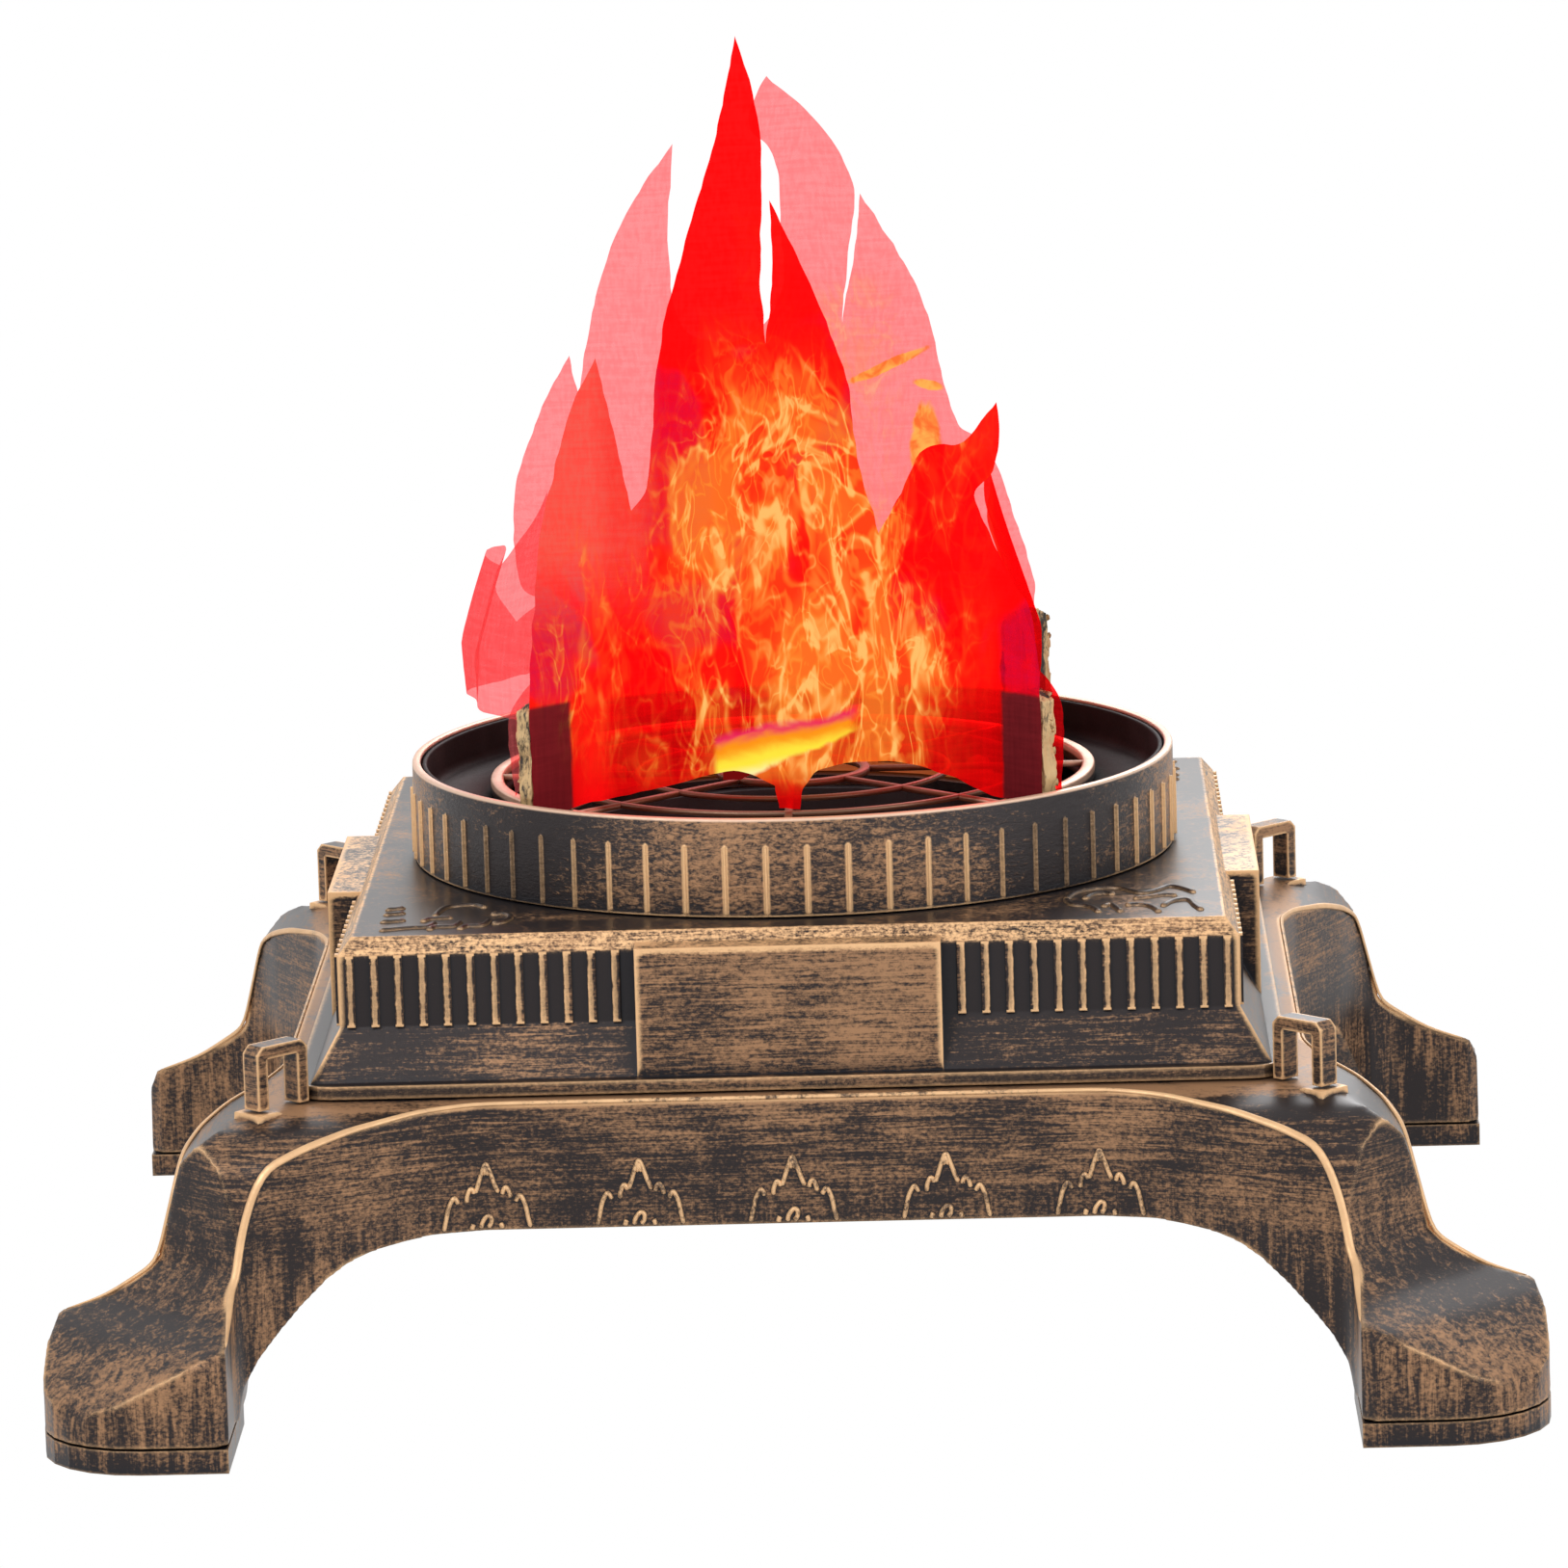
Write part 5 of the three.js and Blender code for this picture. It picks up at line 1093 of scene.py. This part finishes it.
LID_STROKES = [ # a sideways flame at the front's right, and a cloud at its left
    [(45.4, -54.9), (46.5, -50.4), (48.8, -47.4), (51.7, -46.0), (54.6, -46.8), (56.4, -49.6), (58.2, -51.2),
     (60.4, -48.9), (62.4, -46.0), (64.5, -47.6), (66.6, -51.6)],
    [(45.4, -54.9), (46.4, -59.2), (48.6, -60.8), (50.0, -63.2), (50.6, -66.0)],
    [(51.3, -61.6), (52.6, -59.9), (53.6, -63.2), (54.2, -66.0)],
    [(55.1, -61.1), (56.5, -60.4), (58.7, -61.6), (59.9, -64.4), (60.3, -66.8)],
    [(61.0, -62.3), (62.7, -58.4), (65.3, -57.4), (66.4, -62.6), (67.3, -66.0)],
    [(48.4, -54.8), (49.6, -51.6), (51.6, -50.4), (53.4, -51.8)],
    [(56.4, -55.6), (58.8, -54.6), (61.4, -53.0), (63.6, -53.8)],
    [(-66.6, -50.2), (-63.4, -48.8)],
    [(-66.7, -54.2), (-63.1, -53.0)],
    [(-66.9, -60.2), (-62.7, -59.0)],
    [(-66.6, -67.0), (-62.0, -65.4), (-58.9, -64.9), (-57.8, -61.6)],
    [(-58.5, -67.4), (-57.6, -65.2), (-54.7, -65.0), (-53.6, -61.4)],
    [(-53.6, -67.4), (-52.4, -65.2), (-50.0, -64.9), (-48.9, -60.4)],
    [(-48.3, -63.8), (-46.4, -62.1), (-45.6, -58.2), (-47.0, -55.6), (-48.9, -56.2)],
    [(-58.2, -56.4), (-57.2, -50.6), (-55.5, -48.2), (-52.0, -47.6), (-50.1, -50.2)],
    [(-60.0, -60.6), (-58.6, -58.4), (-55.0, -58.0)],
]
LEG_SHARES = [ # [outwards from an apron to a toe, height]
    (0, 1), (0.219, 0.961), (0.32, 0.92), (0.39, 0.863), (0.423, 0.784), (0.47, 0.647), (0.523, 0.56),
    (0.609, 0.502), (0.76, 0.47), (0.89, 0.4275), (0.956, 0.382),
]
COVE_SHARES = [(0, 0), (0.25, 0.13), (0.45, 0.333), (0.68, 0.557), (0.87, 0.705), (0.96, 0.83), (1, 1)]


def arris_swelling(share):
    """The arris's size along its length: thin in its middle, full on the legs, thin at the toes."""
    aside = abs(share - 0.5)
    return (0.5 + 0.5 * eased(0.1, 0.3, aside)) * (1 - 0.7 * eased(0.42, 0.5, aside))


def arrises(skin):
    """The rounded edge that runs along each apron's top and down to the feet, laid on the skin."""
    cove = curve_through([Vector((s, t, 0)) for s, t in COVE_SHARES], 6)
    half = [(ARRIS_STEP * k, APRON_PLANE) for k in range(12)]
    half += [(APRON_FLAT + COVE_RUN * p.x, APRON_PLANE + COVE_DEPTH * p.y) for p in cove]
    half += [(APRON_FLAT + COVE_RUN, APRON_PLANE + COVE_DEPTH + ARRIS_FOOT_STEP * k) for k in range(1, 9)]
    surface = BVHTree.FromPolygons(
        [vert.co for vert in skin.vertices], [face.vertices for face in skin.polygons]
    )
    form = bmesh.new()
    for quarter in range(4):
        spin = Matrix.Rotation(quarter * math.pi / 2, 3, "Z")
        points = []
        for x, y in [(-x, y) for x, y in reversed(half[1:])] + half:
            z = FRAME_TOP * float(np.interp((y - APRON_PLANE) / LEG_RUN, *zip(*LEG_SHARES)))
            aside = abs(x) + (SKIN_MARGIN if abs(x) > FOOT_FACE else 0)
            above = spin @ (Vector((math.copysign(aside, x), SKIN_MARGIN - y, ARRIS_CLEAR)) * MM)
            hit = surface.ray_cast(above, Vector((0, 0, -1)))[0]
            if hit is not None:
                z = min(max(hit.z / MM, z - SKIN_DROP), z + SKIN_LIFT)
            points.append(spin @ (Vector((x, -y, z)) * MM))
        for _ in range(2):
            inner = [(a + 2 * b + c) / 4 for a, b, c in zip(points, points[1:], points[2:])]
            points = [points[0], *inner, points[-1]]
        normal = (spin @ Vector((0, -1, 1))).normalized()
        bead(form, points, ARRIS_WIDTH * MM, ARRIS_HEIGHT * MM, normal, arris_swelling)
    return mesh_of("leg_arrises", form)


def apron_flames():
    """Five raised flames on each apron, cut off by the arch below them."""
    form = bmesh.new()
    for quarter in range(4):
        spin = Matrix.Rotation(quarter * math.pi / 2, 3, "Z")
        for i in range(-2, 3):
            for width, stroke in FLAME_STROKES:
                points = []
                for s, t in stroke:
                    along = i * FLAME_PITCH + s
                    aside = (abs(along) - APRON_FLAT) / COVE_RUN
                    out = APRON_PLANE + COVE_DEPTH * float(np.interp(aside, *zip(*COVE_SHARES)))
                    points.append(spin @ (Vector((along, -out, ARCH_TOP + t)) * MM))
                outward = spin @ Vector((0, -1, 0))
                bead(form, curve_through(points, 4), width * MM, FLAME_HEIGHT * MM, outward)
    return mesh_of("apron_flames", form)


def lid_flames():
    """Low reliefs on the four corners of the housing's top."""
    form = bmesh.new()
    for half in range(2):
        spin = Matrix.Rotation(half * math.pi, 3, "Z")
        for stroke in LID_STROKES:
            points = curve_through([spin @ (Vector((s, t, LID_TOP)) * MM) for s, t in stroke], 5)
            bead(form, points, LID_STROKE_WIDTH * MM, LID_STROKE_HEIGHT * MM, Vector((0, 0, 1)))
    return mesh_of("deck_flames", form)


# Room, camera and light

FLOOR_HALF = 2.5
FLOOR_DROP = 0.2 * MM
LAMPS_AIM = Vector((0, 0, 0.09))


def seen(tree):
    """Whether a ray comes from the camera, off a glossy surface or through a clear one."""
    path = tree.nodes.new("ShaderNodeLightPath").outputs
    kinds = ("Camera", "Glossy", "Transmission")
    camera_ray, glossy, through = (Field(tree, path[f"Is {kind} Ray"]) for kind in kinds)
    return camera_ray.calc("MAXIMUM", glossy).calc("MAXIMUM", through)


@material
def paper(tree):
    """Pale paper that the camera sees as white."""
    colour = blend(grain(tree, (30, 30, 30), 2), (0.78, 0.78, 0.78, 1), (0.82, 0.82, 0.82, 1))
    return over(seen(tree), add(tree, "ShaderNodeBsdfDiffuse", {"Color": colour}), glow(tree, (1, 1, 1, 1)))


def ground():
    """The floor under the lamp."""
    form = bmesh.new()
    bmesh.ops.create_grid(form, x_segments=1, y_segments=1, size=FLOOR_HALF)
    floor = bpy.data.objects.new("floor", mesh_of("floor", form, smooth=False))
    floor.location.z = -FLOOR_DROP
    floor.data.materials.append(paper("floor"))
    bpy.context.scene.collection.objects.link(floor)


def sky():
    """A world that the camera sees as white, and that lights a little less."""
    world = bpy.data.worlds.new("world")
    world.use_nodes = True
    tree = world.node_tree
    tree.nodes.clear()
    output = tree.nodes.new("ShaderNodeOutputWorld")
    light = {"Color": (1, 1, 1, 1), "Strength": mixed(seen(tree), 0.62, 1.0)}
    tree.links.new(add(tree, "ShaderNodeBackground", light).socket, output.inputs["Surface"])
    return world


def lamp(name, at, size, power):
    data = bpy.data.lights.new(name, "AREA")
    data.shape, data.size, data.energy = "DISK", size, power
    made = bpy.data.objects.new(name, data)
    made.location = at
    made.rotation_euler = (LAMPS_AIM - Vector(at)).to_track_quat("-Z", "Y").to_euler()
    bpy.context.scene.collection.objects.link(made)


def fitted_camera():
    """The camera at the photograph's place, angle and roll."""
    back = Vector((
        math.sin(CAMERA_AZIMUTH) * math.cos(CAMERA_ELEVATION),
        -math.cos(CAMERA_AZIMUTH) * math.cos(CAMERA_ELEVATION),
        math.sin(CAMERA_ELEVATION),
    ))
    level = Vector((math.cos(CAMERA_AZIMUTH), math.sin(CAMERA_AZIMUTH), 0))
    up = back.cross(level)
    across = math.cos(CAMERA_ROLL) * level - math.sin(CAMERA_ROLL) * up
    upward = math.sin(CAMERA_ROLL) * level + math.cos(CAMERA_ROLL) * up
    data = bpy.data.cameras.new("camera")
    data.lens, data.sensor_width = CAMERA_LENS, CAMERA_SENSOR
    data.clip_start, data.clip_end = CAMERA_CLIP
    made = bpy.data.objects.new("camera", data)
    facing = Matrix((across, upward, back)).transposed().to_4x4()
    made.matrix_world = Matrix.Translation(CAMERA_TARGET + back * CAMERA_DISTANCE) @ facing
    bpy.context.scene.collection.objects.link(made)
    return made


# Finishes

bronze_leg = bronze("bronze_leg", 0.44, FOOT_STROKES, reach=1.6, edge=1.25, plain=leg_gold, where=leg_edges)
bronze_deck = bronze("bronze_deck", 0.34, plain=housing_gold, where=deck_edges, band=crown_band)
bronze_top = bronze("bronze_top", 0.25, edge=0.45, reach=0.7)
bronze_drum = bronze(
    "bronze_drum", 0.40, rim=DRUM_RIM, edge=0.9, reach=0.6, plain=drum_gold, where=drum_edges, coarse=True
)
black_resin = plastic("component_black", (0.012, 0.012, 0.013, 1), 0.4, 0.02)
bright_copper = metal("copper_parts", (0.86, 0.44, 0.26, 1), 0.3, (300, 300, 2600))
black_bowl = plastic("black_bowl", (0.008, 0.006, 0.007, 1), 0.6, shine=0.12)
dark_plastic = plastic("dark_plastic", (0.016, 0.016, 0.018, 1))
steel = metal("steel", (0.55, 0.56, 0.58, 1))
front_silk = silk("front_silk", (0.93, 0.010, 0.010, 1), (0.88, 0.004, 0.005, 1), 0.55, lit=True)
red_silk = silk("red_silk", (0.96, 0.030, 0.036, 1), (0.90, 0.006, 0.010, 1), 0.30, flames=0.8)
PINK = ((0.97, 0.31, 0.32, 1), (0.93, 0.19, 0.20, 1), 0.24, 0.35)
# small flames of painted lamp light on the rear silk
REAR_LICKS = ((23.6, 139.5, 2.8, 8.5, 0.4), (17.5, 154.0, 7.4, 1.1, 0.42), (24.5, 150.2, 2.8, 1.1, -0.2))
rear_silk = silk("rear_silk", *PINK, licks=REAR_LICKS)
pink_silk = silk("pink_silk", *PINK)

finishes = {
    "housing": bronze_deck,
    "drum_ring": bronze_drum,
    "hanging_loop": bronze("bronze_loop", 0.60, edge=0.7, reach=0.8),
    "foot_pad": bronze("bronze_pad", 0.44, FOOT_STROKES, edge=0.35, reach=0.8),
    "switch_rocker": plastic("rocker_plastic", (0.010, 0.010, 0.011, 1), 0.3, 0.02),
    "lamp_board": circuit("dark_board", (0.006, 0.006, 0.007, 1), (0.012, 0.010, 0.010, 1)),
    "driver_board": circuit("circuit_board", (0.010, 0.085, 0.032, 1), (0.018, 0.15, 0.055, 1)),
    "lamp_lens": clear_lens("lamp_lens"),
    "capacitor": black_resin,
    "driver_chip": black_resin,
    "terminal_block": plastic("terminal_green", (0.012, 0.16, 0.045, 1), 0.45, 0.02),
    "choke": bright_copper,
    "fan_bearing": bright_copper,
    "silk_flap": lamplit_flap("amber_silk"),
}
metals = ("chassis_plate", "fan_motor", "fan_shaft", "inlet_pin", "inlet_nut", "_screw")
for name, node in nodes.items():
    finish = steel if any(part in name for part in metals) else dark_plastic
    for start, its_own in finishes.items():
        if name.startswith(start) and "_screw" not in name:
            finish = its_own
    node.data.materials.clear()
    node.data.materials.append(finish)

# Pieces

leg_skin = cast("leg_frame", LEG_VOXEL * MM, 0.5, depth=8)
leg_skin.set_sharp_from_angle(angle=math.radians(32))
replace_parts(piece("leg_frame_skin", leg_skin, bronze_leg), "leg_frame")
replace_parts(piece("drum_ring_skin", drum(), bronze_drum), "drum_ring")
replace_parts(piece("fan_guard_bars", guard(), copper_paint_and_shade("copper_guard")), "fan_guard")
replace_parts(piece("bowl_liner_skin", liner(), black_bowl), "bowl_liner")

for corner in CORNERS:
    for start, width in (("hanging_loop", LOOP_BEVEL), ("foot_pad", PAD_BEVEL)):
        softened = nodes[f"{start}_{corner}"].modifiers.new("softened", "BEVEL")
        softened.width, softened.segments, softened.harden_normals = width * MM, 3, True
        softened.limit_method, softened.angle_limit = "ANGLE", math.radians(30)

bark_paint = bark("bark_paint")
for seed, corner in enumerate(CORNERS):
    mesh = weathered(cast(f"stake_{corner}", BARK_VOXEL * MM, rounds=4), 420, BARK_RIDGE * MM, seed * 7)
    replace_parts(piece(f"stake_{corner}_bark", mesh, bark_paint), f"stake_{corner}")

piece("apron_flames", apron_flames(), relief("bronze_relief"))
piece("deck_flames", lid_flames(), bronze_top)
piece("leg_arrises", arrises(leg_skin), relief("bronze_edge", 0.10, fading=True))

panel("silk_front_cloth", FRONT_FLAME_SHARES, 0, 0, -1, front_silk, 1)
panel("silk_rear_cloth", REAR_FLAME_SHARES, 0, 0, 1, rear_silk, 2)
panel("silk_left_cloth", LEFT_FLAME_SHARES, 14.8, math.pi / 2, 1, pink_silk, 3, 11)
panel("silk_right_cloth", RIGHT_FLAME_SHARES, 2.0, math.pi / 2, -1, red_silk, 4)

# Stage

ground()
lamp("key", (-0.75, -1.0, 1.1), 0.7, 11)
lamp("fill", (1.0, -0.8, 0.6), 0.9, 6)
lamp("back", (0.2, 1.1, 0.8), 0.8, 7)

scene = bpy.context.scene
scene.world = sky()
scene.camera = fitted_camera()
scene.view_settings.view_transform = "Standard"
